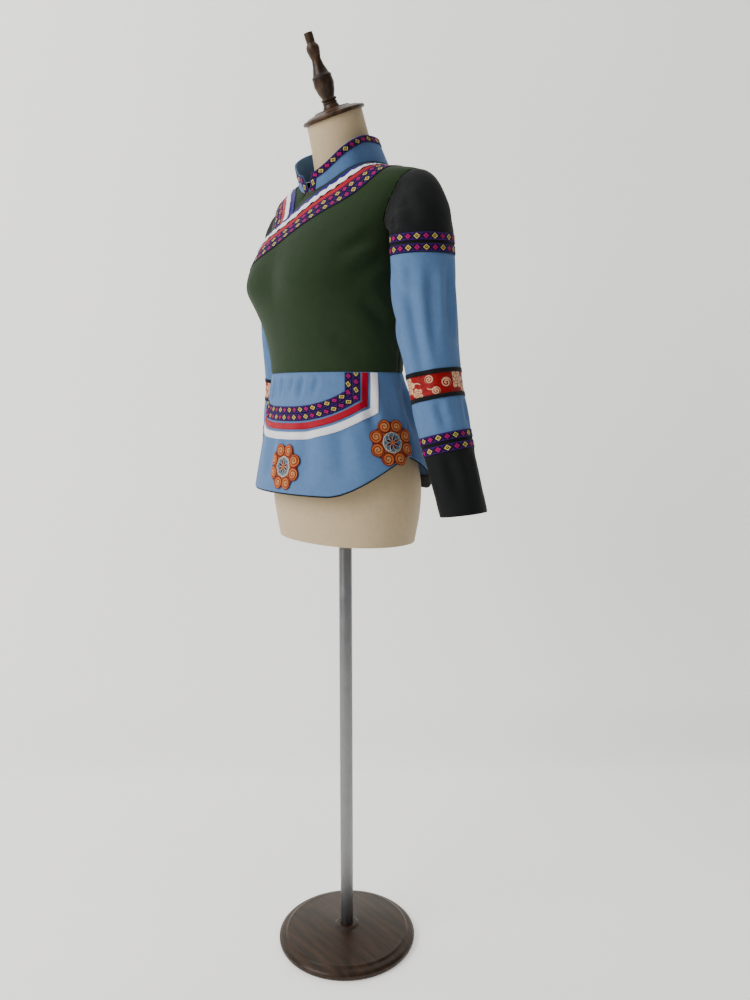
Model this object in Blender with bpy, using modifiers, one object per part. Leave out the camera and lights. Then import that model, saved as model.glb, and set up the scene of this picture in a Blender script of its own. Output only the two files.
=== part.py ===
"""A side-fastening folk tunic on a limbless dress form.

Metres, +Z up. The form faces -Y and the wearer's left is +X. The origin is the middle of the stand's
underside. Each cut and sewn piece is one object: its cloth is an open sheet, trimmed along its seams
from the tunic's body or sleeve surface, and Solidify gives it its wall.
"""

import math

import bmesh
import bpy
import numpy as np
from mathutils import Matrix, Vector
from mathutils.bvhtree import BVHTree

# Cloth walls, and the clear gap that every piece keeps from its neighbours.
BODY_CLOTH = 0.0015
RIBBON_CLOTH = 0.0008
GAP = 0.0003
SEAM_GAP = 0.0006
RIBBON_LIFT = 0.0015
UNDER_LAYER = 0.0044
UNDER_CLEARANCE = 0.0006

# Grid of the sheets that the pieces are cut from.
BODY_SIDES = 28
BODY_RINGS = (
    *(0.880, 0.920, 0.960, 1.000, 1.040, 1.080, 1.117, 1.150, 1.182, 1.212, 1.240, 1.266, 1.292),
    *(1.320, 1.348, 1.374, 1.398, 1.420, 1.436, 1.448, 1.457, 1.464, 1.471, 1.481, 1.500),
)
SLEEVE_SIDES = 16
RIBBON_STEP = 0.028
RIBBON_TURN = math.radians(19)

# Heights of the tunic's seams.
WAIST_Z = 1.117
ARMPIT_Z = 1.331
HEM_FRONT_Z = 0.909
HEM_RISE = 0.074
SIDE_SEAM_Y = 0.010
HEM_RISE_FROM, HEM_RISE_TO = math.radians(40), math.radians(102)

# Sections of the tunic's outer face, from the hem to the neck:
# height, half width, depth in front of the middle, depth behind it, y of the middle, squareness.
TUNIC_SECTIONS = (
    (0.880, 0.195, 0.156, 0.136, 0.000, 2.15),
    (0.930, 0.187, 0.148, 0.128, 0.000, 2.15),
    (1.000, 0.169, 0.138, 0.110, 0.000, 2.15),
    (1.060, 0.152, 0.131, 0.088, 0.000, 2.15),
    (1.117, 0.140, 0.128, 0.070, 0.000, 2.10),
    (1.160, 0.142, 0.132, 0.072, 0.000, 2.15),
    (1.200, 0.146, 0.142, 0.079, 0.000, 2.25),
    (1.235, 0.149, 0.155, 0.085, 0.000, 2.35),
    (1.268, 0.150, 0.163, 0.090, 0.000, 2.40),
    (1.300, 0.151, 0.157, 0.094, 0.000, 2.40),
    (1.337, 0.154, 0.140, 0.096, 0.000, 2.30),
    (1.378, 0.166, 0.113, 0.093, 0.002, 2.20),
    (1.410, 0.184, 0.093, 0.086, 0.004, 2.00),
    (1.430, 0.197, 0.081, 0.080, 0.006, 1.90),
    (1.445, 0.188, 0.073, 0.076, 0.008, 1.80),
    (1.454, 0.158, 0.071, 0.076, 0.010, 1.80),
    (1.462, 0.120, 0.071, 0.077, 0.011, 1.80),
    (1.470, 0.091, 0.071, 0.078, 0.011, 1.90),
    (1.480, 0.077, 0.071, 0.077, 0.011, 2.00),
    (1.495, 0.070, 0.069, 0.074, 0.010, 2.00),
    (1.530, 0.065, 0.064, 0.066, 0.006, 2.00),
)

# Sections of the dress form, in the same order, from its flat end under the hips to the neck.
FORM_SECTIONS = (
    (0.8150, 0.152, 0.104, 0.100, 0.002, 2.15),
    (0.8700, 0.162, 0.112, 0.108, 0.002, 2.15),
    (0.9200, 0.166, 0.116, 0.107, 0.002, 2.15),
    (0.9800, 0.157, 0.114, 0.094, 0.001, 2.15),
    (1.0400, 0.138, 0.111, 0.080, 0.000, 2.10),
    (1.1000, 0.126, 0.112, 0.060, 0.000, 2.10),
    (1.1500, 0.130, 0.119, 0.063, 0.000, 2.15),
    (1.1965, 0.138, 0.132, 0.071, 0.000, 2.25),
    (1.2315, 0.141, 0.146, 0.078, 0.000, 2.35),
    (1.2645, 0.142, 0.154, 0.083, 0.000, 2.40),
    (1.2965, 0.143, 0.148, 0.087, 0.000, 2.40),
    (1.3335, 0.146, 0.131, 0.089, 0.000, 2.30),
    (1.3745, 0.157, 0.104, 0.086, 0.002, 2.20),
    (1.4065, 0.175, 0.084, 0.079, 0.004, 2.00),
    (1.4265, 0.186, 0.072, 0.073, 0.006, 1.85),
    (1.4415, 0.172, 0.062, 0.068, 0.008, 1.55),
    (1.4475, 0.142, 0.061, 0.067, 0.010, 1.50),
    (1.4550, 0.106, 0.060, 0.067, 0.010, 1.50),
    (1.4630, 0.078, 0.060, 0.067, 0.009, 1.60),
    (1.4750, 0.064, 0.058, 0.063, 0.007, 1.80),
    (1.4920, 0.058, 0.056, 0.059, 0.003, 2.00),
    (1.5100, 0.0555, 0.0550, 0.0560, -0.0020, 2.00),
    (1.5350, 0.0540, 0.0535, 0.0535, -0.0100, 2.00),
    (1.5645, 0.0525, 0.0520, 0.0520, -0.0195, 2.00),
    (1.6000, 0.0510, 0.0510, 0.0510, -0.0320, 2.00),
)

# The bust fills the front on both sides of the middle.
BUST_Z = 1.266
BUST_TURN = math.radians(31)
BUST_SPREAD = math.radians(19)
BUST_ABOVE, BUST_BELOW = 0.055, 0.030
BUST_OUT = 0.009
BUST_HOLLOW = 0.007

# Armhole: how far out the cloth reaches at each height.
ARMHOLE_REACH = (
    (1.250, 0.1480),
    (1.331, 0.1500),
    (1.360, 0.1540),
    (1.385, 0.1610),
    (1.410, 0.1720),
    (1.442, 0.1910),
    (1.500, 0.2350),
)
ARMHOLE_ROUNDING = 0.010
ARMHOLE_CENTRE = (0.006, 1.388)
ARMHOLE_GAP = 0.0006

# Neckline: its height at each turn from the front, in degrees, and the axis of the collar round it.
NECKLINE = (
    (0.0, 1.4289),
    (13.6, 1.4312),
    (26.8, 1.4375),
    (39.3, 1.4473),
    (51.5, 1.4587),
    (65.8, 1.4686),
    (80.0, 1.4757),
    (100.0, 1.4800),
    (120.0, 1.4835),
    (150.0, 1.4875),
    (180.0, 1.4890),
)
NECK_CENTRE = Vector((0.0, -0.001, 1.4600))
NECK_TILT = math.radians(22)
COLLAR_RADIUS = 0.075
COLLAR_HEIGHT = 0.046
COLLAR_TOP_SCALE = 0.95
COLLAR_LEAN = 0.002
COLLAR_END_BASE, COLLAR_END_TOP = math.radians(2.5), math.radians(10)
# The collar's height at each turn from the front, in degrees: it is lower towards its ends.
COLLAR_TOP = (
    (0.0, 0.0270),
    (20.0, 0.0275),
    (40.0, 0.0310),
    (55.0, 0.0360),
    (70.0, 0.0415),
    (90.0, 0.0452),
    (120.0, 0.0460),
    (180.0, 0.0460),
)
COLLAR_TRIM = 0.0115

# Flap edge, given as the front view's x and z: from the right armhole to the back of the neck.
FLAP_EDGE_FRONT = (
    (-0.175, 1.326),
    (-0.125, 1.347),
    (-0.067, 1.366),
    (-0.022, 1.388),
    (0.005, 1.408),
    (0.032, 1.426),
)
FLAP_TURN_X = -0.018
UNDER_OVERLAP = 0.030
UNDER_END_X = 0.020
# Where the neck ribbons leave that line they follow the neckline, this far out from it.
RIBBON_STAND_OFF = 0.007
UNDER_EDGE_FRONT = (
    (-0.016, 1.368),
    (-0.024, 1.392),
    (-0.034, 1.412),
    (-0.046, 1.430),
)
# Ribbons beside the flap's edge and round the neck: name, distance of both edges from the line.
NECK_RIBBONS = (
    ("violet_ribbon", 0.0000, 0.0110),
    ("white_ribbon", 0.0120, 0.0240),
    ("red_ribbon", 0.0250, 0.0360),
    ("woven_ribbon_inner", 0.0370, 0.0505),
    ("woven_ribbon_outer", 0.0515, 0.0650),
)

# Ribbons round the U on the front peplum: name, distance of both edges from its inner line.
U_TURN = math.radians(52)
U_BOTTOM_Z = 1.0585
U_BOTTOM_RISE = 0.026
U_RIBBONS = (
    ("u_woven_inner", 0.0000, 0.0125),
    ("u_woven_outer", 0.0130, 0.0255),
    ("u_red", 0.0290, 0.0400),
    ("u_white", 0.0445, 0.0575),
)

# Medallions on the front peplum: name, turn from the front, height.
MEDALLIONS = (
    ("medallion_front", math.radians(5), 0.954),
    ("medallion_left", math.radians(80), 0.998),
    ("medallion_right", math.radians(-77), 0.998),
)
MEDALLION_RADIUS = 0.0385
MEDALLION_LIFT = 0.0031
MEDALLION_LOBES = 8
MEDALLION_LOBE_DEPTH = 0.0040

FACING_WIDTH = 0.022
FACING_SHOWS = 0.0025

# Sleeve centre lines: height, x, y, half width across the arm, half depth front to back.
LEFT_ARM = (
    (0.8815, 0.270, 0.036, 0.0400, 0.0430),
    (0.9930, 0.240, 0.027, 0.0425, 0.0475),
    (1.0976, 0.217, 0.019, 0.0440, 0.0510),
    (1.2200, 0.200, 0.012, 0.0490, 0.0590),
    (1.2800, 0.198, 0.008, 0.0500, 0.0600),
    (1.3365, 0.197, 0.005, 0.0500, 0.0590),
)
RIGHT_ARM = (
    (0.8815, -0.268, 0.036, 0.0400, 0.0430),
    (0.9930, -0.240, 0.028, 0.0425, 0.0475),
    (1.0976, -0.215, 0.023, 0.0440, 0.0510),
    (1.2200, -0.200, 0.014, 0.0490, 0.0590),
    (1.2800, -0.198, 0.013, 0.0500, 0.0600),
    (1.3365, -0.197, 0.014, 0.0500, 0.0590),
)
INNER_SHARE = 0.74
BICEP_Z = 1.3365
SHOULDER_Z = 1.4410
CUFF_Z = 0.8815
CAP_LEAVES = (0.95, -0.28)
CAP_ROUNDS = 0.12

# Pieces of a sleeve, from the shoulder down: name, cloth, heights on the arm's centre line, rows.
SLEEVE_PIECES = (
    ("cap", "black", SHOULDER_Z, 1.3030, 5),
    ("upper", "blue", 1.3030, 1.1115, 3),
    ("brocade", "brocade", 1.1115, 1.0715, 1),
    ("lower", "blue", 1.0715, 1.0050, 1),
    ("cuff", "black", 1.0050, CUFF_Z, 2),
)
# Ribbons round a sleeve: name, cloth, heights on the arm's centre line.
SLEEVE_RIBBONS = (
    ("trim_1", "woven", 1.3340, 1.3215),
    ("trim_2", "woven", 1.3165, 1.3040),
    ("edging_1", "black", 1.1150, 1.1080),
    ("edging_2", "black", 1.0750, 1.0680),
    ("trim_3", "woven", 1.0125, 1.0000),
    ("trim_4", "woven", 0.9945, 0.9820),
)

# Stand and neck fittings.
BASE_PROFILE = (
    (0.0150, 0.0300),
    (0.0200, 0.0300),
    (0.0240, 0.0265),
    (0.1060, 0.0225),
    (0.1130, 0.0205),
    (0.1180, 0.0205),
    (0.1220, 0.0170),
    (0.1300, 0.0150),
    (0.1350, 0.0110),
    (0.1350, 0.0045),
    (0.1320, 0.0000),
)
POLE_RADIUS = 0.0125
FORM_BOTTOM_Z = 0.815
NECK_TOP = Vector((0.0, -0.0200, 1.5645))
NECK_LEAN = math.radians(24)
CAP_PROFILE = (
    (0.0150, 0.0160),
    (0.0310, 0.0150),
    (0.0340, 0.0125),
    (0.0450, 0.0105),
    (0.0490, 0.0085),
    (0.0550, 0.0070),
    (0.0570, 0.0045),
    (0.0565, 0.0015),
    (0.0530, 0.0003),
)
FINIAL_START = 0.0163
FINIAL_PROFILE = (
    (0.0078, 0.1220),
    (0.0078, 0.1070),
    (0.0072, 0.1060),
    (0.0112, 0.1000),
    (0.0118, 0.0950),
    (0.0100, 0.0870),
    (0.0082, 0.0800),
    (0.0100, 0.0690),
    (0.0145, 0.0560),
    (0.0178, 0.0520),
    (0.0172, 0.0490),
    (0.0182, 0.0390),
    (0.0150, 0.0260),
    (0.0112, 0.0170),
    (0.0140, 0.0150),
    (0.0140, 0.0125),
    (0.0115, 0.0110),
    (0.0135, 0.0090),
    (0.0125, 0.0065),
    (0.0155, 0.0000),
)
TURNED_STEPS = 24

COLOURS = {
    "green": ((0.040, 0.056, 0.033), 0.85, 0.0),
    "blue": ((0.180, 0.290, 0.470), 0.80, 0.0),
    "black": ((0.012, 0.012, 0.014), 0.85, 0.0),
    "white": ((0.780, 0.780, 0.800), 0.55, 0.0),
    "red": ((0.420, 0.020, 0.035), 0.60, 0.0),
    "brocade": ((0.450, 0.020, 0.022), 0.45, 0.0),
    "violet": ((0.050, 0.022, 0.170), 0.60, 0.0),
    "woven": ((0.120, 0.020, 0.140), 0.70, 0.0),
    "medallion": ((0.600, 0.180, 0.090), 0.70, 0.0),
    "form_cloth": ((0.560, 0.500, 0.400), 0.90, 0.0),
    "dark_wood": ((0.060, 0.035, 0.022), 0.40, 0.0),
    "steel": ((0.100, 0.100, 0.105), 0.35, 1.0),
}


# Curves and surfaces


def read_table(table, at):
    """The columns of a table, whose first column rises, on one smooth curve through its rows."""
    rows = np.asarray(table, float)
    keys, values = rows[:, 0], rows[:, 1:]
    slopes = np.gradient(values, keys, axis=0)
    at = np.clip(np.asarray(at, float), keys[0], keys[-1])
    i = np.clip(np.searchsorted(keys, at, side="right") - 1, 0, len(keys) - 2)
    span = (keys[i + 1] - keys[i])[..., None]
    t = (at - keys[i])[..., None] / span
    start = (1 + 2 * t) * (1 - t) ** 2 * values[i] + t * (1 - t) ** 2 * span * slopes[i]
    end = t * t * (3 - 2 * t) * values[i + 1] - t * t * (1 - t) * span * slopes[i + 1]
    return np.moveaxis(start + end, -1, 0)


def ramp(value, low, high):
    """0 below low, 1 above high, and smooth between them."""
    t = np.clip((value - low) / (high - low), 0, 1)
    return t * t * (3 - 2 * t)


def section_radius(sections, turn, z):
    """Distance of a section's outline from its middle, in the direction turned from the front."""
    half, front, back, _, square = read_table(sections, z)
    depth = np.where(np.cos(turn) > 0, front, back)
    across, along = np.abs(np.sin(turn)) / half, np.abs(np.cos(turn)) / depth
    radius = (across**square + along**square) ** (-1 / square)
    height = np.where(z > BUST_Z, (z - BUST_Z) / BUST_ABOVE, (z - BUST_Z) / BUST_BELOW)
    full = np.exp(-(height**2))
    side = np.exp(-(((np.abs(turn) - BUST_TURN) / BUST_SPREAD) ** 2))
    hollow = np.exp(-((turn / (0.7 * BUST_SPREAD)) ** 2))
    return radius + full * (BUST_OUT * side - BUST_HOLLOW * hollow)


def on_sections(sections, turn, z):
    """Points on the surface through these sections, as rows of x, y, z."""
    turn, z = np.broadcast_arrays(np.asarray(turn, float), np.asarray(z, float))
    radius = section_radius(sections, turn, z)
    middle = read_table(sections, z)[3]
    return np.stack([radius * np.sin(turn), middle - radius * np.cos(turn), z], axis=-1)


def turn_of(sections, points):
    middle = read_table(sections, points[:, 2])[3]
    return np.arctan2(points[:, 0], middle - points[:, 1])


def outward(sections, points):
    """Outward unit normals of the surface, at points on it or near it."""

    def beyond(at):
        turn = turn_of(sections, at)
        middle = read_table(sections, at[:, 2])[3]
        return np.hypot(at[:, 0], at[:, 1] - middle) - section_radius(sections, turn, at[:, 2])

    step = 0.0005
    slopes = [
        beyond(points + step * axis) - beyond(points - step * axis) for axis in np.eye(3)
    ]
    normals = np.stack(slopes, axis=1)
    return normals / np.linalg.norm(normals, axis=1, keepdims=True)


def even_heights(sections, low, high, rows):
    """Heights of rings that are about evenly spaced along the surface, front and side together."""
    fine = np.linspace(low, high, 400)
    front = on_sections(sections, 0.0, fine)
    side = on_sections(sections, math.pi / 2, fine)
    steps = np.linalg.norm(np.diff(front, axis=0), axis=1) + np.linalg.norm(np.diff(side, axis=0), axis=1)
    along = np.concatenate([[0], np.cumsum(steps)])
    return np.interp(np.linspace(0, along[-1], rows + 1), along, fine)


def smooth_line(points, count):
    """A smooth line of count points through the given ones."""
    points = np.asarray(points, float)
    lengths = np.linalg.norm(np.diff(points, axis=0), axis=1)
    along = np.concatenate([[0], np.cumsum(lengths)])
    table = np.column_stack([along, points])
    return read_table(table, np.linspace(0, along[-1], count)).T


def front_point(x, z):
    """The point of the tunic's front surface at this x and z."""
    turns = np.linspace(-math.pi / 2, math.pi / 2, 721)
    ring = on_sections(TUNIC_SECTIONS, turns, z)
    return np.array([np.interp(x, ring[:, 0], ring[:, k]) for k in range(3)])


def neckline_height(turn):
    around = np.degrees(np.abs((np.asarray(turn, float) + math.pi) % (2 * math.pi) - math.pi))
    return read_table(NECKLINE, around)[0]


def neckline(turn):
    return on_sections(TUNIC_SECTIONS, turn, neckline_height(turn))


def flap_edge_z(x):
    """Height of the flap's edge at x: it climbs from the right armhole, then turns up to the neck."""
    line = smooth_line(FLAP_EDGE_FRONT, 60)
    line = line[line[:, 0] < FLAP_TURN_X]
    xs = [*line[:, 0], FLAP_TURN_X + 0.012, FLAP_TURN_X + 0.018]
    zs = [*line[:, 1], 1.425, 1.470]
    return np.interp(x, xs, zs)


def under_depth(points):
    """How far the right front sinks beneath the flap."""
    below_edge = flap_edge_z(points[:, 0]) + 0.050 - points[:, 2]
    return UNDER_LAYER * ramp(below_edge, 0, 0.035) * (points[:, 1] < SIDE_SEAM_Y + 0.002)


def armhole_point(side, phi):
    """The armhole's point in the direction turned by phi from the top, forwards being positive."""
    y0, z0 = ARMHOLE_CENTRE
    reach = np.linspace(0.01, 0.12, 441)
    y, z = y0 - reach * math.sin(phi), z0 + reach * math.cos(phi)
    half, front, back, middle, square = read_table(TUNIC_SECTIONS, z)
    depth = np.where(y < middle, front, back)
    share = np.clip(np.abs(y - middle) / depth, 0, 1)
    x = half * (1 - share**square) ** (1 / square)
    away = past_armhole(np.stack([x, y, z], axis=-1))
    i = np.nonzero((away[:-1] >= 0) & (away[1:] < 0))[0][0]
    t = away[i] / (away[i] - away[i + 1])
    found = [x[i] + t * (x[i + 1] - x[i]), y[i] + t * (y[i + 1] - y[i]), z[i] + t * (z[i + 1] - z[i])]
    return np.array([side * found[0], found[1], found[2]])


def arm_ring(side, height, phi):
    """Points round the sleeve at this height of its centre line, and the arm's downward direction."""
    table = LEFT_ARM if side > 0 else RIGHT_ARM
    x, y, half, depth = read_table(table, height)
    step = 0.002
    ahead, behind = read_table(table, height - step), read_table(table, height + step)
    down = np.stack([ahead[0] - behind[0], ahead[1] - behind[1], np.full_like(x, -2 * step)], axis=-1)
    down /= np.linalg.norm(down, axis=-1, keepdims=True)
    out = np.array([side, 0.0, 0.0]) - side * down[..., :1] * down
    out /= np.linalg.norm(out, axis=-1, keepdims=True)
    front = np.cross(out, down) * side
    front *= np.where(front[..., 1:2] > 0, -1, 1)
    across = np.cos(phi) * half * np.where(np.cos(phi) < 0, INNER_SHARE, 1.0)
    forward = np.sin(phi) * depth
    centre = np.stack([x, y, np.broadcast_to(height, x.shape)], axis=-1)
    return centre + across[..., None] * out + forward[..., None] * front, down


def sleeve_surface(side, phi, height):
    """Points of a sleeve's outer face: rings down the arm, and a cap that runs up to the armhole."""
    phi, height = np.broadcast_arrays(np.asarray(phi, float), np.asarray(height, float))
    ring, down = arm_ring(side, np.minimum(height, BICEP_Z), phi)
    t = np.clip((height - BICEP_Z) / (SHOULDER_Z - BICEP_Z), 0, 1)[..., None]
    seam_line = np.array([armhole_point(side, a) for a in phi.ravel()]).reshape(*phi.shape, 3)
    leaves = np.stack(
        [
            np.full_like(phi, side * CAP_LEAVES[0]),
            -CAP_ROUNDS * np.sin(phi),
            CAP_LEAVES[1] + CAP_ROUNDS * np.cos(phi),
        ],
        axis=-1,
    )
    leaves /= np.linalg.norm(leaves, axis=-1, keepdims=True)
    seam_line = seam_line + ARMHOLE_GAP * leaves
    span = np.linalg.norm(seam_line - ring, axis=-1, keepdims=True)
    rise = (
        (1 + 2 * t) * (1 - t) ** 2 * ring
        - t * (1 - t) ** 2 * span * down
        + t * t * (3 - 2 * t) * seam_line
        + t * t * (1 - t) * span * leaves
    )
    return np.where(t > 0, rise, ring)


def collar_surface(turn, height, out=0.0):
    """Points of the collar's outer face, moved out by a distance; it stands on the neckline."""
    base = neckline(turn)
    up = np.array([0, -math.sin(NECK_TILT), math.cos(NECK_TILT)])
    flat = base - np.array(NECK_CENTRE)
    flat -= (flat @ up)[..., None] * up
    radius = np.linalg.norm(flat, axis=-1, keepdims=True)
    share = (height / COLLAR_HEIGHT)[..., None]
    inward = 0.0008 + share * (COLLAR_LEAN + (1 - COLLAR_TOP_SCALE) * radius) - out
    return base - flat / radius * inward + (0.0014 + height)[..., None] * up


# Cutting lines: each is above 0 where the cloth is cut away


def past_armhole(points):
    reach = read_table(ARMHOLE_REACH, points[:, 2])[0]
    beyond, above = np.abs(points[:, 0]) - reach, points[:, 2] - ARMPIT_Z
    soft = ARMHOLE_ROUNDING
    return -soft * np.logaddexp(-beyond / soft, -above / soft)


def past_neckline(points):
    return points[:, 2] - neckline_height(turn_of(TUNIC_SECTIONS, points))


def behind_side_seam(points):
    return points[:, 1] - SIDE_SEAM_Y


def above_flap_edge(points):
    return points[:, 2] - flap_edge_z(points[:, 0])


def below_under_edge(points):
    return flap_edge_z(np.minimum(points[:, 0], FLAP_TURN_X)) - UNDER_OVERLAP - points[:, 2]


def past_under_edge(points):
    return points[:, 0] - UNDER_END_X


def below(height):
    return lambda points: height - points[:, 2]


def above(height):
    return lambda points: points[:, 2] - height


def hem_height(points):
    turn = np.abs(turn_of(TUNIC_SECTIONS, points))
    from_middle = np.minimum(turn, math.pi - turn)
    return HEM_FRONT_Z + HEM_RISE * ramp(from_middle, HEM_RISE_FROM, HEM_RISE_TO)


def below_hem(points):
    return hem_height(points) - points[:, 2]


# Building


def clear_scene():
    for obj in list(bpy.data.objects):
        bpy.data.objects.remove(obj)


def material(name, finish):
    """The material of the piece with this name, in one of the finishes."""
    colour, roughness, metallic = COLOURS[finish]
    made = bpy.data.materials.new(f"{name}_{finish}")
    made.use_nodes = True
    shader = made.node_tree.nodes["Principled BSDF"]
    shader.inputs["Base Color"].default_value = (*colour, 1)
    shader.inputs["Roughness"].default_value = roughness
    shader.inputs["Metallic"].default_value = metallic
    return made


def add_object(name, bm, collection, finish, smooth=True):
    mesh = bpy.data.meshes.new(name)
    bm.to_mesh(mesh)
    bm.free()
    mesh.materials.append(material(name, finish))
    if smooth:
        mesh.shade_smooth()
        mesh.set_sharp_from_angle(angle=math.radians(35))
    obj = bpy.data.objects.new(name, mesh)
    collection.objects.link(obj)
    return obj


def coordinates(bm):
    return np.array([v.co for v in bm.verts], float).reshape(-1, 3)


def grid_sheet(columns, rows, place, closed):
    """A grid of quads whose corners go where place(u, v) says, with u and v from 0 to 1."""
    bm = bmesh.new()
    bmesh.ops.create_grid(bm, x_segments=columns, y_segments=rows, size=0.5)
    uv = coordinates(bm)[:, :2] + 0.5
    for vert, point in zip(bm.verts, place(uv[:, 0], uv[:, 1])):
        vert.co = point
    if closed:
        bmesh.ops.remove_doubles(bm, verts=bm.verts, dist=1e-6)
    return bm


def trim(bm, cut):
    """Splits the sheet along the line where cut is 0, and drops the side where it is above 0."""
    bm.verts.index_update()
    values = dict(zip(bm.verts, cut(coordinates(bm))))
    for edge in list(bm.edges):
        a, b = edge.verts
        if values[a] * values[b] >= 0:
            continue
        share = values[a] / (values[a] - values[b])
        for _ in range(3):
            here = cut(np.array([a.co.lerp(b.co, share)]))[0]
            if here * values[a] > 0:
                share += (1 - share) * here / (here - values[b])
            else:
                share *= values[a] / (values[a] - here)
        _, middle = bmesh.utils.edge_split(edge, a, min(max(share, 0.02), 0.98))
        values[middle] = 0.0
    for face in list(bm.faces):
        on_line = [v for v in face.verts if values[v] == 0]
        if len(on_line) == 2 and not bm.edges.get(on_line):
            bmesh.utils.face_split(face, *on_line)
    dropped = [f for f in bm.faces if sum(values[v] for v in f.verts) > 0]
    bmesh.ops.delete(bm, geom=dropped, context="FACES")


def move_out(bm, distance, sections=TUNIC_SECTIONS):
    """Moves a sheet outwards by a distance, or by one that depends on the points."""
    points = coordinates(bm)
    lift = distance(points) if callable(distance) else np.full(len(points), distance)
    moved = points + outward(sections, points) * lift[:, None]
    for vert, point in zip(bm.verts, moved):
        vert.co = point


def wall(obj, thickness):
    """Gives a sheet its wall, inwards from its outer face."""
    solid = obj.modifiers.new("wall", "SOLIDIFY")
    solid.thickness = thickness
    solid.offset = -1
    solid.use_rim = True
    return obj


def body_sheet():
    levels = np.linspace(0, 1, len(BODY_RINGS))

    def place(u, v):
        return on_sections(TUNIC_SECTIONS, (u - 0.5) * 2 * math.pi, np.interp(v, levels, BODY_RINGS))

    bm = grid_sheet(BODY_SIDES, len(BODY_RINGS) - 1, place, closed=True)
    bmesh.ops.triangulate(bm, faces=bm.faces)
    bmesh.ops.recalc_face_normals(bm, faces=bm.faces)
    return bm


def opposite(cut):
    return lambda points: -cut(points)


def draw_in(bm, distance):
    """Moves a sheet's outline in by a distance, so that neighbours keep a gap at their seam."""
    shifts = {}
    for edge in bm.edges:
        if len(edge.link_faces) != 1:
            continue
        face = edge.link_faces[0]
        a, b = edge.verts
        inward = face.normal.cross(b.co - a.co).normalized()
        if inward.dot(face.calc_center_median() - a.co) < 0:
            inward = -inward
        for vert in (a, b):
            shifts.setdefault(vert, []).append(inward)
    for vert, directions in shifts.items():
        total = sum(directions, Vector())
        if total.length > 1e-6:
            total.normalize()
            vert.co += total * distance / max(total.dot(directions[0]), 0.5)


def cut_body(name, cuts, lift, finish, collection):
    """One piece of the tunic's body, cut from its surface and moved out by lift."""
    bm = body_sheet()
    for cut in cuts:
        trim(bm, cut)
    loose = [v for v in bm.verts if not v.link_faces]
    bmesh.ops.delete(bm, geom=loose, context="VERTS")
    bm.normal_update()
    draw_in(bm, SEAM_GAP / 2)
    move_out(bm, lift)
    return wall(add_object(name, bm, collection, finish), BODY_CLOTH)


def make_body(collection):
    """Bodice and peplum."""
    bodice = [below(WAIST_Z), past_neckline, past_armhole]
    front = [*bodice, behind_side_seam]
    cut_body("flap", [*front, above_flap_edge], 0.0, "green", collection)
    under = [*front, below_under_edge, past_under_edge]
    cut_body("right_front", under, lambda points: -under_depth(points), "green", collection)
    cut_body("back", [*bodice, opposite(behind_side_seam)], 0.0, "green", collection)
    peplum = [above(WAIST_Z), below_hem]
    cut_body("peplum_front", [*peplum, behind_side_seam], 0.0, "blue", collection)
    cut_body("peplum_back", [*peplum, opposite(behind_side_seam)], 0.0, "blue", collection)


# Ribbons and patches, which follow the cloth that they are sewn to


def cloth_tree():
    bm = body_sheet()
    tree = BVHTree.FromBMesh(bm)
    bm.free()
    return tree


def onto(tree, points):
    return np.array([tree.find_nearest(Vector(p))[0] for p in points])


def march(tree, points, directions, distance):
    """Points of the cloth at a distance from the given ones, over the cloth in these directions."""
    steps = max(1, math.ceil(np.max(np.abs(distance)) / 0.008))
    at = onto(tree, points)
    for _ in range(steps):
        normals = outward(TUNIC_SECTIONS, at)
        flat = directions - np.einsum("ij,ij->i", directions, normals)[:, None] * normals
        lengths = np.linalg.norm(directions, axis=1) / np.linalg.norm(flat, axis=1)
        at = onto(tree, at + flat * lengths[:, None] * distance / steps)
    return at


def across_line(line, mitre=False):
    """Directions over the cloth to the right of a line, seen from outside."""
    runs = np.diff(line, axis=0)
    runs /= np.linalg.norm(runs, axis=1, keepdims=True)
    before, after = np.vstack([runs[:1], runs]), np.vstack([runs, runs[-1:]])
    tangents = before + after
    tangents /= np.linalg.norm(tangents, axis=1, keepdims=True)
    across = np.cross(tangents, outward(TUNIC_SECTIONS, line))
    across /= np.linalg.norm(across, axis=1, keepdims=True)
    if mitre:
        across /= np.einsum("ij,ij->i", tangents, after)[:, None]
    return across


def settle(tree, first, last, lift):
    """Points of a strip's two edges, moved out until it clears the cloth beneath it everywhere."""
    normals = outward(TUNIC_SECTIONS, first), outward(TUNIC_SECTIONS, last)
    lift = np.broadcast_to(lift, len(first)).copy()
    wanted = np.minimum(lift[:-1], lift[1:])
    for _ in range(4):
        near, far = first + normals[0] * lift[:, None], last + normals[1] * lift[:, None]
        missing = np.zeros(len(first) - 1)
        for u in np.linspace(0, 1, 8):
            for v in (0.0, 0.25, 0.5, 0.75, 1.0):
                strip = near + v * (far - near)
                samples = strip[:-1] + u * (strip[1:] - strip[:-1])
                found = [tree.find_nearest(Vector(p)) for p in samples]
                heights = [(Vector(p) - at).dot(normal) for p, (at, normal, _, _) in zip(samples, found)]
                missing = np.maximum(missing, wanted - np.array(heights))
        lift[:-1] += missing
        lift[1:] += missing
    return near, far


def lay_ribbon(name, tree, edges, lift, finish, collection, inside=False):
    """A strip of cloth between two lines of points of the cloth beneath, moved out by lift."""
    if inside:
        near, far = (edge + outward(TUNIC_SECTIONS, edge) * lift for edge in edges)
    else:
        near, far = settle(tree, *edges, lift)

    def place(u, v):
        i = np.rint(u * (len(near) - 1)).astype(int)
        return np.where(v[:, None] < 0.5, near[i], far[i])

    bm = grid_sheet(len(near) - 1, 1, place, closed=False)
    bmesh.ops.recalc_face_normals(bm, faces=bm.faces)
    face = max(bm.faces, key=lambda f: f.calc_area())
    here = np.array([face.calc_center_median()])
    if Vector(outward(TUNIC_SECTIONS, here)[0]).dot(face.normal) < 0:
        bmesh.ops.reverse_faces(bm, faces=bm.faces)
    return wall(add_object(name, bm, collection, finish), RIBBON_CLOTH)


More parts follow.
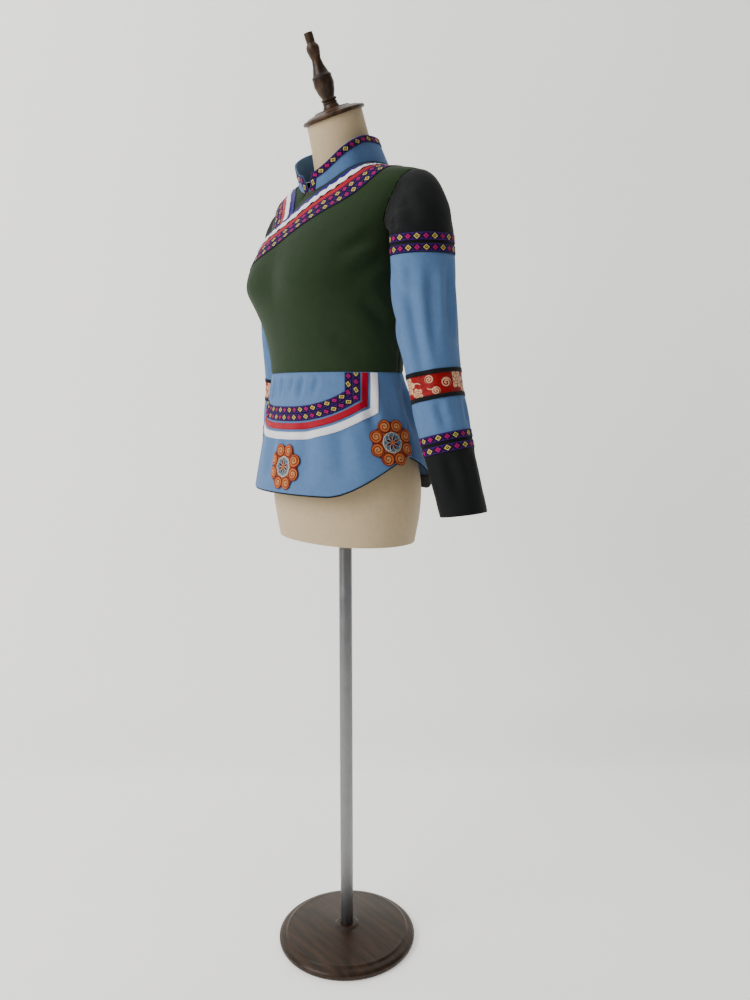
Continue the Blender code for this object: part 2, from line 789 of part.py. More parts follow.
def neck_line(tree):
    """The inner edge of the neck ribbons: along the flap, round the neck, and in under the flap."""
    flap = [front_point(x, z) for x, z in FLAP_EDGE_FRONT]
    turns = np.radians((44, 60, 80, 102, 122, 142, 161, 180, 199, 218, 238, 258, 280, 300, 316))
    neck = neckline(turns)
    neck = march(tree, neck, across_line(neck), RIBBON_STAND_OFF)
    under = [front_point(x, z) for x, z in reversed(UNDER_EDGE_FRONT)]
    return space_out(smooth_line([*flap, *neck, *under], 400))


def space_out(line):
    """Fewer points along a line, closer together where the cloth under it bends."""
    normals = outward(TUNIC_SECTIONS, line)
    bends = np.arccos(np.clip(np.einsum("ij,ij->i", normals[:-1], normals[1:]), -1, 1))
    effort = np.linalg.norm(np.diff(line, axis=0), axis=1) / RIBBON_STEP + bends / RIBBON_TURN
    total = np.concatenate([[0], np.cumsum(effort)])
    at = np.linspace(0, total[-1], math.ceil(total[-1]) + 1)
    return np.stack([np.interp(at, total, line[:, k]) for k in range(3)], axis=1)


def make_neck_ribbons(collection, tree):
    line = neck_line(tree)
    directions = across_line(line)
    back = np.argmax(line[:, 1])
    right = np.arange(len(line)) > back
    for name, near, far in NECK_RIBBONS:
        edges = [march(tree, line, directions, d) for d in (near, far)]
        middle = (edges[0] + edges[1]) / 2
        lift = RIBBON_LIFT + np.where(right, UNDER_CLEARANCE - under_depth(middle), 0.0)
        finish = name.split("_")[0]
        lay_ribbon(name, tree, edges, lift, finish, collection)


def u_line():
    """The U's inner line on the peplum's front, from the waist down, along and up again."""
    turns = np.linspace(-U_TURN, U_TURN, 17)
    bottom = U_BOTTOM_Z + U_BOTTOM_RISE * np.abs(turns / U_TURN) ** 3
    side = np.linspace(WAIST_Z - 0.0010, bottom[0], 5)[:-1]
    points = [on_sections(TUNIC_SECTIONS, -U_TURN, z) for z in side]
    points += [on_sections(TUNIC_SECTIONS, a, z) for a, z in zip(turns, bottom)]
    points += [on_sections(TUNIC_SECTIONS, U_TURN, z) for z in reversed(side)]
    return np.array(points)


def make_u_ribbons(collection, tree):
    line = u_line()
    directions = across_line(line, mitre=True)
    directions[[0, -1], 2] = 0.0
    for name, near, far in U_RIBBONS:
        edges = [march(tree, line, directions, d) for d in (near, far)]
        for edge in edges:
            edge[[0, -1], 2] = WAIST_Z - 0.0010
        lay_ribbon(name, tree, edges, RIBBON_LIFT, name.split("_")[1], collection)


def make_facings(collection, tree):
    """The dark facing inside the hem, which shows just below it."""
    for name, turns in (("facing_front", (-88, 88)), ("facing_back", (92, 268))):
        turns = np.radians(np.linspace(*turns, 19))
        guess = np.full(len(turns), HEM_FRONT_Z)
        at = on_sections(TUNIC_SECTIONS, turns, guess)
        for _ in range(4):
            at = on_sections(TUNIC_SECTIONS, turns, hem_height(at))
        low, high = at.copy(), at.copy()
        low[:, 2] -= FACING_SHOWS
        high[:, 2] += FACING_WIDTH
        edges = [onto(tree, low), onto(tree, high)]
        lay_ribbon(name, tree, edges, -BODY_CLOTH - 0.0006, "black", collection, inside=True)


def make_medallions(collection, tree):
    for name, turn, z in MEDALLIONS:
        centre = on_sections(TUNIC_SECTIONS, turn, z)
        normal = outward(TUNIC_SECTIONS, centre[None, :])[0]
        across = np.cross([0.0, 0.0, 1.0], normal)
        across /= np.linalg.norm(across)
        up = np.cross(normal, across)

        def place(u, v):
            angle = u * 2 * math.pi
            lobes = np.abs(np.sin(MEDALLION_LOBES / 2 * angle))
            radius = v * (MEDALLION_RADIUS + MEDALLION_LOBE_DEPTH * lobes)
            away = np.cos(angle)[:, None] * across + np.sin(angle)[:, None] * up
            points = march(tree, np.tile(centre, (len(u), 1)), away, radius[:, None])
            return points + outward(TUNIC_SECTIONS, points) * MEDALLION_LIFT

        bm = grid_sheet(2 * MEDALLION_LOBES, 2, place, closed=True)
        bmesh.ops.recalc_face_normals(bm, faces=bm.faces)
        bm.faces.ensure_lookup_table()
        if bm.faces[0].normal.dot(Vector(normal)) < 0:
            bmesh.ops.reverse_faces(bm, faces=bm.faces)
        wall(add_object(name, bm, collection, "medallion"), RIBBON_CLOTH)


# Collar and sleeves


def collar_top(turn):
    around = np.degrees(np.abs((np.asarray(turn, float) + math.pi) % (2 * math.pi) - math.pi))
    return read_table(COLLAR_TOP, around)[0]


def collar_ends(share):
    return COLLAR_END_BASE + (COLLAR_END_TOP - COLLAR_END_BASE) * share


def make_collar(collection):
    def place(u, v):
        ends = collar_ends(v)
        turn = ends + u * (2 * math.pi - 2 * ends)
        return collar_surface(turn, v * collar_top(turn))

    bm = grid_sheet(26, 1, place, closed=False)
    face_out(bm, Vector(NECK_CENTRE))
    wall(add_object("collar", bm, collection, "blue"), BODY_CLOTH)

    size = COLLAR_RADIUS
    start = collar_ends(1.0)
    turns = np.linspace(start, 2 * math.pi - start, 27)
    top = np.column_stack([turns * size, collar_top(turns) - 0.0006])
    low = 0.0045
    foot = collar_ends(low / collar_top(start)) * size
    line = np.vstack([[(foot, low)], top, [(2 * math.pi * size - foot, low)]])
    runs = np.diff(line, axis=0)
    runs /= np.linalg.norm(runs, axis=1, keepdims=True)
    before, after = np.vstack([runs[:1], runs]), np.vstack([runs, runs[-1:]])
    tangents = before + after
    tangents /= np.linalg.norm(tangents, axis=1, keepdims=True)
    inward = np.column_stack([tangents[:, 1], -tangents[:, 0]])
    inward /= np.einsum("ij,ij->i", tangents, after)[:, None]
    inner = line + inward * COLLAR_TRIM

    def place_trim(u, v):
        i = np.rint(u * (len(line) - 1)).astype(int)
        chart = np.where(v[:, None] < 0.5, line[i], inner[i])
        return collar_surface(chart[:, 0] / size, chart[:, 1], out=RIBBON_LIFT + 0.0011)

    bm = grid_sheet(len(line) - 1, 1, place_trim, closed=False)
    face_out(bm, Vector(NECK_CENTRE))
    wall(add_object("collar_trim", bm, collection, "woven"), RIBBON_CLOTH)


def face_out(bm, centre):
    """Turns the faces of a sheet that goes round a centre so that they look away from it."""
    bmesh.ops.recalc_face_normals(bm, faces=bm.faces)
    looks = sum(f.normal.dot(f.calc_center_median() - centre) * f.calc_area() for f in bm.faces)
    if looks < 0:
        bmesh.ops.reverse_faces(bm, faces=bm.faces)


def make_tube(name, side, top, bottom, rows, lift, thickness, finish, collection):
    heights = np.linspace(bottom, top, rows + 1)

    def place(u, v):
        phi = u * 2 * math.pi
        height = np.interp(v, np.linspace(0, 1, rows + 1), heights)
        points = sleeve_surface(side, phi, height)
        if lift:
            step = 1e-4
            around = sleeve_surface(side, phi + step, height) - sleeve_surface(side, phi - step, height)
            lower = np.minimum(height, SHOULDER_Z - 0.001)
            along = sleeve_surface(side, phi, lower + step) - sleeve_surface(side, phi, lower - step)
            normals = np.cross(along, around)
            normals /= np.linalg.norm(normals, axis=1, keepdims=True)
            centre = read_table(LEFT_ARM if side > 0 else RIGHT_ARM, height)[:2]
            away = points[:, :2] - centre.T
            facing = np.einsum("ij,ij->i", normals[:, :2], away)
            points = points + normals * np.where(facing < 0, -1, 1)[:, None] * lift
        return points

    bm = grid_sheet(SLEEVE_SIDES, rows, place, closed=True)
    table = LEFT_ARM if side > 0 else RIGHT_ARM
    middle = (top + bottom) / 2
    x, y = read_table(table, middle)[:2]
    face_out(bm, Vector((x, y, middle)))
    wall(add_object(name, bm, collection, finish), thickness)


def make_sleeves(collection):
    for side, word in ((1, "left"), (-1, "right")):
        for piece, finish, top, bottom, rows in SLEEVE_PIECES:
            high = top if top == SHOULDER_Z else top - SEAM_GAP / 2
            low = bottom if bottom == CUFF_Z else bottom + SEAM_GAP / 2
            make_tube(f"{word}_{piece}", side, high, low, rows, 0.0, BODY_CLOTH, finish, collection)
        for ribbon, finish, top, bottom in SLEEVE_RIBBONS:
            name = f"{word}_{ribbon}"
            make_tube(name, side, top, bottom, 1, RIBBON_LIFT, RIBBON_CLOTH, finish, collection)


# The dress form and its stand


def make_form(collection):
    heights = even_heights(FORM_SECTIONS, FORM_BOTTOM_Z, 1.60, 34)
    lean = Vector((0, -math.sin(NECK_LEAN), math.cos(NECK_LEAN)))
    levels = np.linspace(0, 1, 35)

    def place(u, v):
        return on_sections(FORM_SECTIONS, (u - 0.5) * 2 * math.pi, np.interp(v, levels, heights))

    bm = grid_sheet(36, 34, place, closed=True)
    geom = [*bm.verts, *bm.edges, *bm.faces]
    bmesh.ops.bisect_plane(bm, geom=geom, plane_co=NECK_TOP, plane_no=lean, clear_outer=True)
    rims = [e for e in bm.edges if len(e.link_faces) == 1]
    bmesh.ops.holes_fill(bm, edges=rims, sides=0)
    bmesh.ops.recalc_face_normals(bm, faces=bm.faces)
    add_object("form_body", bm, collection, "form_cloth")


def turned(name, profile, finish, collection, low):
    """A closed body turned about +Z from a profile that runs top to bottom on its outer side."""
    points = [(0.0, profile[0][1]), *profile, (0.0, profile[-1][1])]
    bm = bmesh.new()
    verts = [bm.verts.new((r, 0, z)) for r, z in points]
    for a, b in zip(verts[:-1], verts[1:]):
        bm.edges.new((a, b))
    obj = add_object(name, bm, collection, finish)
    screw = obj.modifiers.new("turn", "SCREW")
    screw.steps = screw.render_steps = TURNED_STEPS
    screw.use_merge_vertices = True
    screw.merge_threshold = 0.00005
    obj.location = low
    return obj


def make_stand(collection):
    turned("base", BASE_PROFILE, "dark_wood", collection, Vector((0, 0, 0)))
    top, bottom = FORM_BOTTOM_Z - GAP, BASE_PROFILE[0][1] + GAP
    pole = [(POLE_RADIUS, top), (POLE_RADIUS, bottom)]
    turned("pole", pole, "steel", collection, Vector((0, 0, 0)))
    tilt = Matrix.Rotation(NECK_LEAN, 4, "X")
    for name, profile, start in (
        ("neck_cap", CAP_PROFILE, 0.0),
        ("finial", FINIAL_PROFILE, FINIAL_START),
    ):
        lean = tilt @ Vector((0, 0, 1))
        obj = turned(name, profile, "dark_wood", collection, NECK_TOP + lean * start)
        obj.rotation_euler.x = NECK_LEAN


def main():
    clear_scene()
    parts = bpy.data.collections.new("folk_tunic_on_form")
    bpy.context.scene.collection.children.link(parts)
    tree = cloth_tree()
    make_form(parts)
    make_stand(parts)
    make_body(parts)
    make_facings(parts, tree)
    make_neck_ribbons(parts, tree)
    make_u_ribbons(parts, tree)
    make_medallions(parts, tree)
    make_collar(parts)
    make_sleeves(parts)


if __name__ == "__main__":
    main()
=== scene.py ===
"""A side-fastening folk tunic on a limbless dress form: its cloth, trimmings, stand and studio.

Metres, +Z up. The form faces -Y and the wearer's left is +X. Every piece is laid out on the same body
and sleeve surfaces as the packed part, with creases, seams and threads added.
"""

import functools
import math

import bmesh
import bpy
import numpy as np
from bpy.props import FloatProperty, FloatVectorProperty, PointerProperty
from mathutils import Matrix, Vector


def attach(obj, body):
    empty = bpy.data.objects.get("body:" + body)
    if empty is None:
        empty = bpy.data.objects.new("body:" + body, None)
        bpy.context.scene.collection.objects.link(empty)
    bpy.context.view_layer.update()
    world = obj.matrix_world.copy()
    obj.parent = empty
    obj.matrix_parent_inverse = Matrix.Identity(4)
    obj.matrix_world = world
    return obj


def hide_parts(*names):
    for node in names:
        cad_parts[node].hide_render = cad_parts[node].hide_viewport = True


bl_info = {
    "name": "Folk tunic on a dress form",
    "version": (1, 0, 0),
    "blender": (4, 5, 0),
    "location": "View3D > Sidebar > Tunic",
    "description": "Makes a folk tunic from its cut pieces, with the form and stand that it hangs on",
    "category": "Object",
}

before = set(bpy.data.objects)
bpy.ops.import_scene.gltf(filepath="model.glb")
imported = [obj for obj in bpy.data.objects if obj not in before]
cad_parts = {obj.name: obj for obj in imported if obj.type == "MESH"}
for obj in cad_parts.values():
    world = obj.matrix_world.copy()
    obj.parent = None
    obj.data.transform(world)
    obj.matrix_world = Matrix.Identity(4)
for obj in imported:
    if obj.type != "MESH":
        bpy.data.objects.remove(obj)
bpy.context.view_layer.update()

# Seams and edges of the tunic, how far the hem rises at the sides, and the gap and dip along a seam.
WAIST_Z = 1.117
ARMPIT_Z = 1.331
HEM_FRONT_Z = 0.909
HEM_RISE = 0.074
SIDE_SEAM_Y = 0.010
HEM_RISE_FROM, HEM_RISE_TO = math.radians(40), math.radians(102)
SIDE_SEAM_TOP = 1.44
GRID_BOTTOM, GRID_TOP = 0.880, 1.500
GRID_SPARE = 0.004
SEAM_GAP = 0.0001
SEAM_DIP, SEAM_REACH = 0.0015, 0.0026
UNDER_LAYER = 0.0044

# Sections of the tunic's outer face, from the hem to the neck:
# height, half width, depth in front of the middle, depth behind it, y of the middle, squareness.
TUNIC_SECTIONS = (
    (0.880, 0.195, 0.156, 0.136, 0.000, 2.15),
    (0.930, 0.187, 0.148, 0.128, 0.000, 2.15),
    (1.000, 0.169, 0.138, 0.110, 0.000, 2.15),
    (1.060, 0.152, 0.131, 0.088, 0.000, 2.15),
    (1.117, 0.140, 0.128, 0.070, 0.000, 2.10),
    (1.160, 0.142, 0.132, 0.072, 0.000, 2.15),
    (1.200, 0.146, 0.142, 0.079, 0.000, 2.25),
    (1.235, 0.149, 0.155, 0.085, 0.000, 2.35),
    (1.268, 0.150, 0.163, 0.090, 0.000, 2.40),
    (1.300, 0.151, 0.157, 0.094, 0.000, 2.40),
    (1.337, 0.154, 0.140, 0.096, 0.000, 2.30),
    (1.378, 0.166, 0.113, 0.093, 0.002, 2.20),
    (1.410, 0.184, 0.093, 0.086, 0.004, 2.00),
    (1.430, 0.197, 0.081, 0.080, 0.006, 1.90),
    (1.445, 0.188, 0.073, 0.076, 0.008, 1.80),
    (1.454, 0.158, 0.071, 0.076, 0.010, 1.80),
    (1.462, 0.120, 0.071, 0.077, 0.011, 1.80),
    (1.470, 0.091, 0.071, 0.078, 0.011, 1.90),
    (1.480, 0.077, 0.071, 0.077, 0.011, 2.00),
    (1.495, 0.070, 0.069, 0.074, 0.010, 2.00),
    (1.530, 0.065, 0.064, 0.066, 0.006, 2.00),
)

# Sections of the dress form, in the same order, from its flat end under the hips to the neck.
FORM_SECTIONS = (
    (0.8150, 0.152, 0.104, 0.100, 0.002, 2.15),
    (0.8700, 0.162, 0.112, 0.108, 0.002, 2.15),
    (0.9200, 0.166, 0.116, 0.107, 0.002, 2.15),
    (0.9800, 0.157, 0.114, 0.094, 0.001, 2.15),
    (1.0400, 0.138, 0.111, 0.080, 0.000, 2.10),
    (1.1000, 0.126, 0.112, 0.060, 0.000, 2.10),
    (1.1500, 0.130, 0.119, 0.063, 0.000, 2.15),
    (1.1965, 0.138, 0.132, 0.071, 0.000, 2.25),
    (1.2315, 0.141, 0.146, 0.078, 0.000, 2.35),
    (1.2645, 0.142, 0.154, 0.083, 0.000, 2.40),
    (1.2965, 0.143, 0.148, 0.087, 0.000, 2.40),
    (1.3335, 0.146, 0.131, 0.089, 0.000, 2.30),
    (1.3745, 0.157, 0.104, 0.086, 0.002, 2.20),
    (1.4065, 0.175, 0.084, 0.079, 0.004, 2.00),
    (1.4265, 0.186, 0.072, 0.073, 0.006, 1.85),
    (1.4415, 0.172, 0.062, 0.068, 0.008, 1.55),
    (1.4475, 0.142, 0.061, 0.067, 0.010, 1.50),
    (1.4550, 0.106, 0.060, 0.067, 0.010, 1.50),
    (1.4630, 0.078, 0.060, 0.067, 0.009, 1.60),
    (1.4750, 0.064, 0.058, 0.063, 0.007, 1.80),
    (1.4920, 0.058, 0.056, 0.059, 0.003, 2.00),
    (1.5100, 0.0555, 0.0550, 0.0560, -0.0020, 2.00),
    (1.5350, 0.0540, 0.0535, 0.0535, -0.0100, 2.00),
    (1.5645, 0.0525, 0.0520, 0.0520, -0.0195, 2.00),
    (1.6000, 0.0510, 0.0510, 0.0510, -0.0320, 2.00),
)

# The bust fills the front on both sides of the middle.
BUST_Z = 1.266
BUST_TURN = math.radians(31)
BUST_SPREAD = math.radians(19)
BUST_ABOVE, BUST_BELOW = 0.055, 0.030
BUST_OUT = 0.009
BUST_HOLLOW = 0.007

# Armhole: how far out the cloth reaches at each height.
ARMHOLE_REACH = (
    (1.250, 0.1480),
    (1.331, 0.1500),
    (1.360, 0.1540),
    (1.385, 0.1610),
    (1.410, 0.1720),
    (1.442, 0.1910),
    (1.500, 0.2350),
)
ARMHOLE_ROUNDING = 0.010
ARMHOLE_CENTRE = (0.006, 1.388)
ARMHOLE_GAP = 0.0006

# Neckline: its height at each turn from the front, in degrees, and the axis of the collar round it.
NECKLINE = (
    (0.0, 1.4289),
    (13.6, 1.4312),
    (26.8, 1.4375),
    (39.3, 1.4473),
    (51.5, 1.4587),
    (65.8, 1.4686),
    (80.0, 1.4757),
    (100.0, 1.4800),
    (120.0, 1.4835),
    (150.0, 1.4875),
    (180.0, 1.4890),
)
NECK_CENTRE = Vector((0.0, -0.001, 1.4600))
NECK_TILT = math.radians(22)
COLLAR_RADIUS = 0.075
COLLAR_HEIGHT = 0.046
COLLAR_TOP_SCALE = 0.95
COLLAR_LEAN = 0.002
COLLAR_END_BASE, COLLAR_END_TOP = math.radians(1.2), math.radians(10)
# The collar's height at each turn from the front, in degrees: it is lower towards its ends.
COLLAR_TOP = (
    (0.0, 0.0270),
    (20.0, 0.0275),
    (40.0, 0.0310),
    (55.0, 0.0360),
    (70.0, 0.0415),
    (90.0, 0.0452),
    (120.0, 0.0460),
    (180.0, 0.0460),
)
COLLAR_TRIM = 0.0115

# Flap edge, given as the front view's x and z: from the right armhole to the back of the neck.
FLAP_EDGE_FRONT = (
    (-0.175, 1.326),
    (-0.125, 1.347),
    (-0.067, 1.366),
    (-0.022, 1.388),
    (0.005, 1.408),
    (0.032, 1.426),
)
FLAP_TURN_X = -0.018
UNDER_OVERLAP = 0.030
UNDER_END_X = 0.020
# Where the neck ribbons leave that line they follow the neckline, this far out from it.
RIBBON_STAND_OFF = 0.007
UNDER_EDGE_FRONT = (
    (-0.016, 1.368),
    (-0.024, 1.392),
    (-0.034, 1.412),
    (-0.046, 1.430),
)
# Ribbons beside the flap's edge and round the neck: name, distance of both edges from the line.
NECK_RIBBONS = (
    ("violet_ribbon", 0.0000, 0.0110),
    ("white_ribbon", 0.0120, 0.0240),
    ("red_ribbon", 0.0250, 0.0360),
    ("woven_ribbon_inner", 0.0370, 0.0505),
    ("woven_ribbon_outer", 0.0515, 0.0650),
)

# Ribbons round the U on the front peplum: name, distance of both edges from its inner line.
U_TURN = math.radians(52)
U_BOTTOM_Z = 1.0585
U_BOTTOM_RISE = 0.026
U_RIBBONS = (
    ("u_woven_inner", 0.0000, 0.0125),
    ("u_woven_outer", 0.0130, 0.0255),
    ("u_red", 0.0290, 0.0400),
    ("u_white", 0.0445, 0.0575),
)

# Medallions on the front peplum: name, turn from the front, height.
MEDALLIONS = (
    ("medallion_front", math.radians(5), 0.954),
    ("medallion_left", math.radians(80), 0.998),
    ("medallion_right", math.radians(-77), 0.998),
)
# Sleeve centre lines: height, x, y, half width across the arm, half depth front to back.
LEFT_ARM = (
    (0.8815, 0.270, 0.036, 0.0400, 0.0430),
    (0.9930, 0.240, 0.027, 0.0425, 0.0475),
    (1.0976, 0.217, 0.019, 0.0440, 0.0510),
    (1.2200, 0.200, 0.012, 0.0490, 0.0590),
    (1.2800, 0.198, 0.008, 0.0500, 0.0600),
    (1.3365, 0.197, 0.005, 0.0500, 0.0590),
)
RIGHT_ARM = (
    (0.8815, -0.268, 0.036, 0.0400, 0.0430),
    (0.9930, -0.240, 0.028, 0.0425, 0.0475),
    (1.0976, -0.215, 0.023, 0.0440, 0.0510),
    (1.2200, -0.200, 0.014, 0.0490, 0.0590),
    (1.2800, -0.198, 0.013, 0.0500, 0.0600),
    (1.3365, -0.197, 0.014, 0.0500, 0.0590),
)
INNER_SHARE = 0.74
BICEP_Z = 1.3365
SHOULDER_Z = 1.4410
CUFF_Z = 0.8815
CAP_LEAVES = (0.95, -0.28)
CAP_ROUNDS = 0.12

# Pieces of a sleeve, from the shoulder down: name, cloth, heights on the arm's centre line, rows.
SLEEVE_PIECES = (
    ("cap", "black", SHOULDER_Z, 1.3030, 5),
    ("upper", "blue", 1.3030, 1.1115, 3),
    ("brocade", "brocade", 1.1115, 1.0715, 1),
    ("lower", "blue", 1.0715, 1.0050, 1),
    ("cuff", "black", 1.0050, CUFF_Z, 2),
)
# Ribbons round a sleeve: name, cloth, heights on the arm's centre line.
SLEEVE_RIBBONS = (
    ("trim_1", "woven", 1.3340, 1.3215),
    ("trim_2", "woven", 1.3165, 1.3040),
    ("edging_1", "black", 1.1150, 1.1080),
    ("edging_2", "black", 1.0750, 1.0680),
    ("trim_3", "woven", 1.0125, 1.0000),
    ("trim_4", "woven", 0.9945, 0.9820),
)

# Stand and neck fittings.
BASE_PROFILE = (
    (0.0150, 0.0300),
    (0.0200, 0.0300),
    (0.0240, 0.0265),
    (0.1060, 0.0225),
    (0.1130, 0.0205),
    (0.1180, 0.0205),
    (0.1220, 0.0170),
    (0.1300, 0.0150),
    (0.1350, 0.0110),
    (0.1350, 0.0045),
    (0.1320, 0.0000),
)
POLE_RADIUS = 0.0125
FORM_BOTTOM_Z = 0.815
NECK_TOP = Vector((0.0, -0.0200, 1.5645))
NECK_LEAN = math.radians(24)
CAP_PROFILE = (
    (0.0150, 0.0160),
    (0.0310, 0.0150),
    (0.0340, 0.0125),
    (0.0450, 0.0105),
    (0.0490, 0.0085),
    (0.0550, 0.0070),
    (0.0570, 0.0045),
    (0.0565, 0.0015),
    (0.0530, 0.0003),
)
FINIAL_START = 0.0163
FINIAL_PROFILE = (
    (0.0078, 0.1220),
    (0.0078, 0.1070),
    (0.0072, 0.1060),
    (0.0112, 0.1000),
    (0.0118, 0.0950),
    (0.0100, 0.0870),
    (0.0082, 0.0800),
    (0.0100, 0.0690),
    (0.0145, 0.0560),
    (0.0178, 0.0520),
    (0.0172, 0.0490),
    (0.0182, 0.0390),
    (0.0150, 0.0260),
    (0.0112, 0.0170),
    (0.0140, 0.0150),
    (0.0140, 0.0125),
    (0.0115, 0.0110),
    (0.0135, 0.0090),
    (0.0125, 0.0065),
    (0.0155, 0.0000),
)
# Creases of the body, as turn in degrees and height at both ends, half width and depth in metres.
BODY_CREASES = (
    (-33, 1.112, -38, 1.010, 0.0075, 0.0022),
    (-20, 1.114, -24, 1.062, 0.0050, 0.0016),
    (-6, 1.114, -9, 1.074, 0.0055, 0.0017),
    (8, 1.113, 4, 1.080, 0.0050, 0.0015),
    (19, 1.114, 14, 1.066, 0.0065, 0.0021),
    (33, 1.112, 27, 1.074, 0.0060, 0.0016),
    (23, 1.040, 26, 0.915, 0.0140, 0.0026),
    (48, 1.030, 52, 0.925, 0.0130, 0.0024),
    (-14, 1.030, -16, 0.915, 0.0150, 0.0024),
    (66, 1.112, 71, 1.000, 0.0090, 0.0022),
    (96, 1.108, 101, 1.000, 0.0100, 0.0028),
    (114, 1.112, 119, 0.975, 0.0095, 0.0026),
    (136, 1.113, 139, 0.950, 0.0110, 0.0028),
    (158, 1.114, 160, 0.935, 0.0120, 0.0030),
    (181, 1.114, 180, 0.925, 0.0120, 0.0028),
    (203, 1.114, 201, 0.935, 0.0110, 0.0030),
    (224, 1.112, 220, 0.955, 0.0105, 0.0026),
    (246, 1.110, 240, 0.985, 0.0100, 0.0026),
    (266, 1.110, 260, 1.000, 0.0100, 0.0026),
    (296, 1.110, 288, 1.010, 0.0090, 0.0022),
    (76, 1.345, 44, 1.300, 0.0110, 0.0021),
    (80, 1.315, 52, 1.262, 0.0120, 0.0020),
    (60, 1.240, 86, 1.185, 0.0130, 0.0020),
    (40, 1.175, 70, 1.140, 0.0140, 0.0016),
    (-76, 1.345, -44, 1.300, 0.0110, 0.0020),
    (-80, 1.315, -52, 1.262, 0.0120, 0.0019),
    (-62, 1.235, -88, 1.180, 0.0130, 0.0020),
    (112, 1.340, 150, 1.300, 0.0120, 0.0022),
    (248, 1.340, 210, 1.300, 0.0120, 0.0022),
    (105, 1.250, 150, 1.195, 0.0140, 0.0022),
    (255, 1.245, 212, 1.190, 0.0140, 0.0021),
    (120, 1.180, 172, 1.150, 0.0120, 0.0018),
    (238, 1.172, 196, 1.146, 0.0110, 0.0016),
)
# Creases of a sleeve, in the same way, with the turn from the outer side, forwards being positive.
SLEEVE_CREASES = (
    (62, 1.300, 56, 1.060, 0.0095, 0.0026),
    (24, 1.290, 30, 1.120, 0.0080, 0.0019),
    (-12, 1.300, -6, 1.150, 0.0070, 0.0022),
    (-48, 1.270, -40, 1.140, 0.0090, 0.0022),
    (110, 1.290, 60, 1.215, 0.0100, 0.0026),
    (150, 1.250, 95, 1.165, 0.0095, 0.0028),
    (175, 1.215, 120, 1.130, 0.0085, 0.0024),
    (205, 1.240, 265, 1.160, 0.0095, 0.0026),
    (190, 1.190, 250, 1.120, 0.0085, 0.0022),
    (40, 1.070, 34, 1.010, 0.0080, 0.0016),
    (100, 1.068, 110, 1.008, 0.0080, 0.0016),
    (-30, 1.068, -24, 1.010, 0.0080, 0.0016),
    (45, 0.985, 38, 0.900, 0.0110, 0.0020),
    (125, 0.985, 118, 0.905, 0.0100, 0.0020),
    (-45, 0.980, -40, 0.900, 0.0110, 0.0020),
    (65, 1.400, 40, 1.345, 0.0110, 0.0020),
    (100, 1.375, 80, 1.340, 0.0090, 0.0020),
    (-70, 1.400, -45, 1.345, 0.0110, 0.0020),
)

# Radii by which turns become lengths where a crease crosses them.
BODY_ROUND, SLEEVE_ROUND = 0.150, 0.050

# Small pleats of the cloth just below the waist seam.
PUCKER = 0.00032
PUCKER_OFF, PUCKER_REACH = 0.005, 0.005

# Meshes: the body panels' chart, rows and columns of the finer pieces, and when points become one.
BODY_CHART_WIDTH = 0.92
RIBBON_ROWS = 7
SLEEVE_STEP, SLEEVE_COLUMNS = 0.0036, 112
FORM_TOP, FORM_ROWS, FORM_COLUMNS = 1.60, 190, 168
MERGE, MERGE_RIBBON = 1e-6, 1e-5
SHARP_ANGLE = math.radians(38)

# Neck ribbons: spacing of their points, where the line round the neck starts and ends, their waves.
NECK_STEP = 0.0035
NECK_TURNS = (44, 60, 80, 102, 122, 142, 161, 180, 199, 218, 238, 258, 280, 300, 316)
RIPPLE_LENGTH, WRINKLE_LENGTH, WAVE_LENGTH = 0.0210, 0.0105, 0.013
WRINKLE, WAVE = 0.0010, 0.00015

# Ribbons of the U: where they start below the waist, and the points of a leg and of the bottom.
U_START = WAIST_Z - 0.0010
U_LEG, U_BOTTOM = 5, 17
U_LEG_FINE, U_BOTTOM_FINE = 24, 110

# Medallions: a disc with a round lobe at every petal, and a star in the middle.
MEDALLION_DISC = 0.0358
MEDALLION_PETALS = 8
PETAL_RING, PETAL_ROUND = 0.0302, 0.0118
CURL_PITCH = 0.0052
STAR_FROM, STAR_LONG, STAR_WIDE = 0.0020, 0.0125, 0.0021

# Collar: its chart, its part sewn in below the neckline, its trim, and the trim's ends.
COLLAR_CHART_WIDTH = 0.44
COLLAR_SEWN_IN = 0.0012
COLLAR_TRIM_LIFT, COLLAR_TRIM_FOOT, COLLAR_TRIM_TOP = 0.0013, 0.0012, 0.0004

# Hem facings: how deep they are and how far they show, behind the panel.
FACING_WIDTH, FACING_SHOWS, FACING_BEHIND = 0.022, 0.0025, 0.0005

# Woven ribbon: the length of its repeat and its middle. Cloth narrower than this skips working out its
# share of its cut area. Narrower cloth isn't declared as a sheet.
WOVEN_REPEAT, WOVEN_MIDDLE = 0.028, 0.0064
NARROWEST_SHEET = 0.0102

# Brocade: its repeat, then place, size and petals of flowers, and place, size and turn of curls.
BROCADE_REPEAT = 0.096
BROCADE_FLOWERS = ((0.078, 0.024, 0.0150, 6), (0.060, 0.009, 0.0095, 5))
BROCADE_CURLS = ((0.012, 0.020, 0.0085, 1.0), (0.038, 0.028, 0.0068, -1.0), (0.030, 0.009, 0.0066, 1.0))

# Turned pieces: how many steps go round, and how far their edges are rounded.
TURN_STEPS = 96
EDGE_ROUNDING = 0.0011

# The studio: where the camera stands, and the sweep behind the stand.
CAMERA_TURN, CAMERA_AWAY, CAMERA_HEIGHT = math.radians(52), 1.533, 1.071
CAMERA_PITCH, CAMERA_ASIDE = math.radians(7), math.radians(2.1)
CAMERA_LENS, CAMERA_SENSOR = 29.52, 36.0
SWEEP_AWAY, SWEEP_WIDTH, SWEEP_HEIGHT, SWEEP_BEND = 0.86, 7.0, 4.2, 0.16
SWEEP_NEAR, SWEEP_DROP = 4.5, 0.0004
